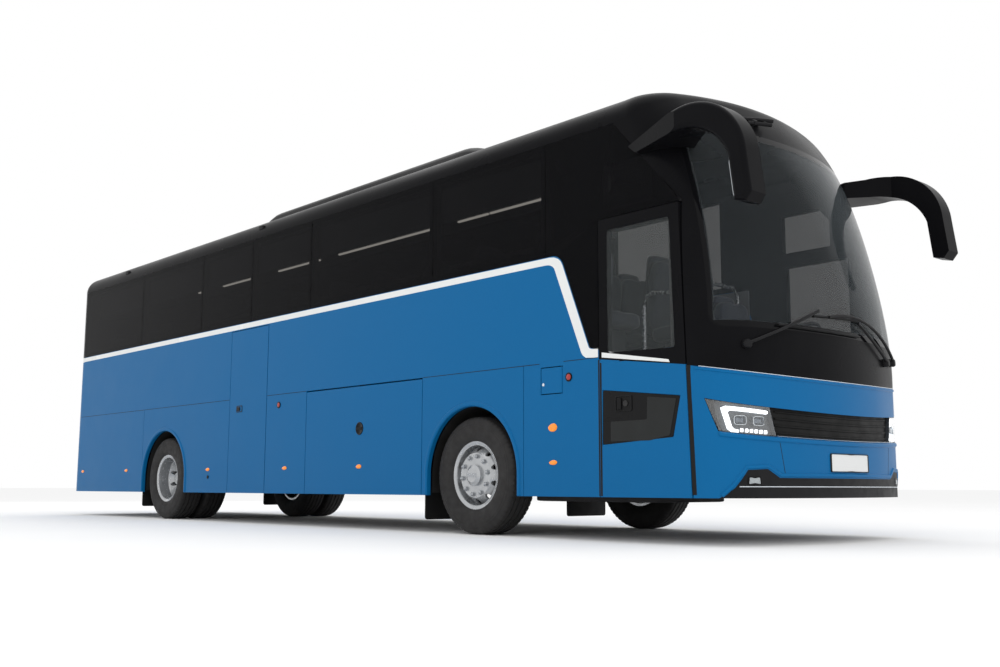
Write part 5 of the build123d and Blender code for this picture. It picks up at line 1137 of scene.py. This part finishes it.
# Cabin lining on the inside of the waist panels
lining = {"inside": 0.0605, "z": (1.46, 2.30), "radius": 0.02, "right": [(-5.80, -1.46), (-0.45, 4.10)],
          "left": [(-5.80, 4.20)]}
panels = []
for place, key in ((rightMap, "right"), (leftMap, "left")):
    inward = lambda x, z, out: place(x, z, -lining["inside"] - out)
    panels += [pillow(boxOutline(*run, *lining["z"], lining["radius"]),
                      plate(depth=0.0, lift=0.006, edge=0.002), inward)
               for run in lining[key]]
makePiece("cabinPanels", "body", ["cabinLining"], rings(*panels))
# Grab rails at the entry and behind the driver
rail = {"radius": 0.017,
        "entry": [(4.30, -0.46, 0.99), (4.30, -0.46, 1.95), (4.34, -0.46, 2.03), (4.42, -0.46, 2.05),
                  (4.62, -0.46, 2.02), (4.70, -0.46, 1.95), (4.70, -0.46, 0.99)],
        "driver": [(4.24, 0.30, 1.46), (4.24, 0.30, 2.20), (4.24, 0.36, 2.28), (4.24, 0.90, 2.28),
                   (4.24, 0.97, 2.20), (4.24, 0.97, 1.46)]}
makePiece("grabRails", "body", ["platedSteel"],
          rings(*[tube(rail[key], rail["radius"]) for key in ("entry", "driver")]))
print("cabin done")

# Floor, light and camera
studio = {"floorHalf": 200, "level": 1.0,
          "lights": [{"name": "overhead", "place": (0, 0, 12), "aim": (0, 0, 0), "size": (18, 10),
                      "power": 350,
                      "inGloss": True},
                     {"name": "frontRight", "place": (13, -15, 7), "aim": (2, 0, 1.6), "size": (9, 7),
                      "power": 450,
                      "inGloss": False},
                     {"name": "nose", "place": (17, 1, 5), "aim": (5, 0, 1.6), "size": (7, 6), "power": 150,
                      "inGloss": False},
                     {"name": "rear", "place": (-16, 6, 8), "aim": (0, 0, 1.5), "size": (8, 6),
                      "power": 200,
                      "inGloss": False}]}
far = studio["floorHalf"]
floorMesh = bpy.data.meshes.new("floor")
floorMesh.from_pydata([(-far, -far, 0), (far, -far, 0), (far, far, 0), (-far, far, 0)], [], [(0, 1, 2, 3)])
floorMesh.materials.append(shade["paleStudioFloor"])
floor = bpy.data.objects.new("floor", floorMesh)
bpy.context.scene.collection.objects.link(floor)

world = bpy.context.scene.world or bpy.data.worlds.new("studio")
bpy.context.scene.world = world
world.use_nodes = True
tree = world.node_tree
tree.nodes.clear()
sky = addNode(tree, "Background", {}, {"Color": (1, 1, 1, 1), "Strength": studio["level"]})
addNode(tree, "OutputWorld", {}, {"Surface": sky.outputs[0]})
for lightLook in studio["lights"]:
    light = bpy.data.lights.new(lightLook["name"], "AREA")
    light.shape = "RECTANGLE"
    light.size, light.size_y = lightLook["size"]
    light.energy = lightLook["power"]
    holder = bpy.data.objects.new(lightLook["name"], light)
    holder.location = lightLook["place"]
    aim = Vector(lightLook["aim"]) - Vector(lightLook["place"])
    holder.rotation_euler = aim.to_track_quat("-Z", "Y").to_euler()
    holder.visible_camera = False
    holder.visible_glossy = lightLook["inGloss"]
    bpy.context.scene.collection.objects.link(holder)

view = {"place": (10.3482, -7.5622, 0.4149), "ahead": (-0.73574, 0.66299, 0.13834), "roll": 0.134,
        "lens": 39.51,
        "sensor": 36.0, "farthest": 600}
camera = bpy.data.cameras.new("camera")
camera.lens, camera.sensor_width = view["lens"], view["sensor"]
camera.clip_end = view["farthest"]
holder = bpy.data.objects.new("camera", camera)
holder.location = view["place"]
turnTo = Vector(view["ahead"]).to_track_quat("-Z", "Y") @ Quaternion((0, 0, 1), np.radians(view["roll"]))
holder.rotation_euler = turnTo.to_euler()
bpy.context.scene.collection.objects.link(holder)
bpy.context.scene.camera = holder
bpy.context.scene.view_settings.view_transform = "Standard"
print("stage set")
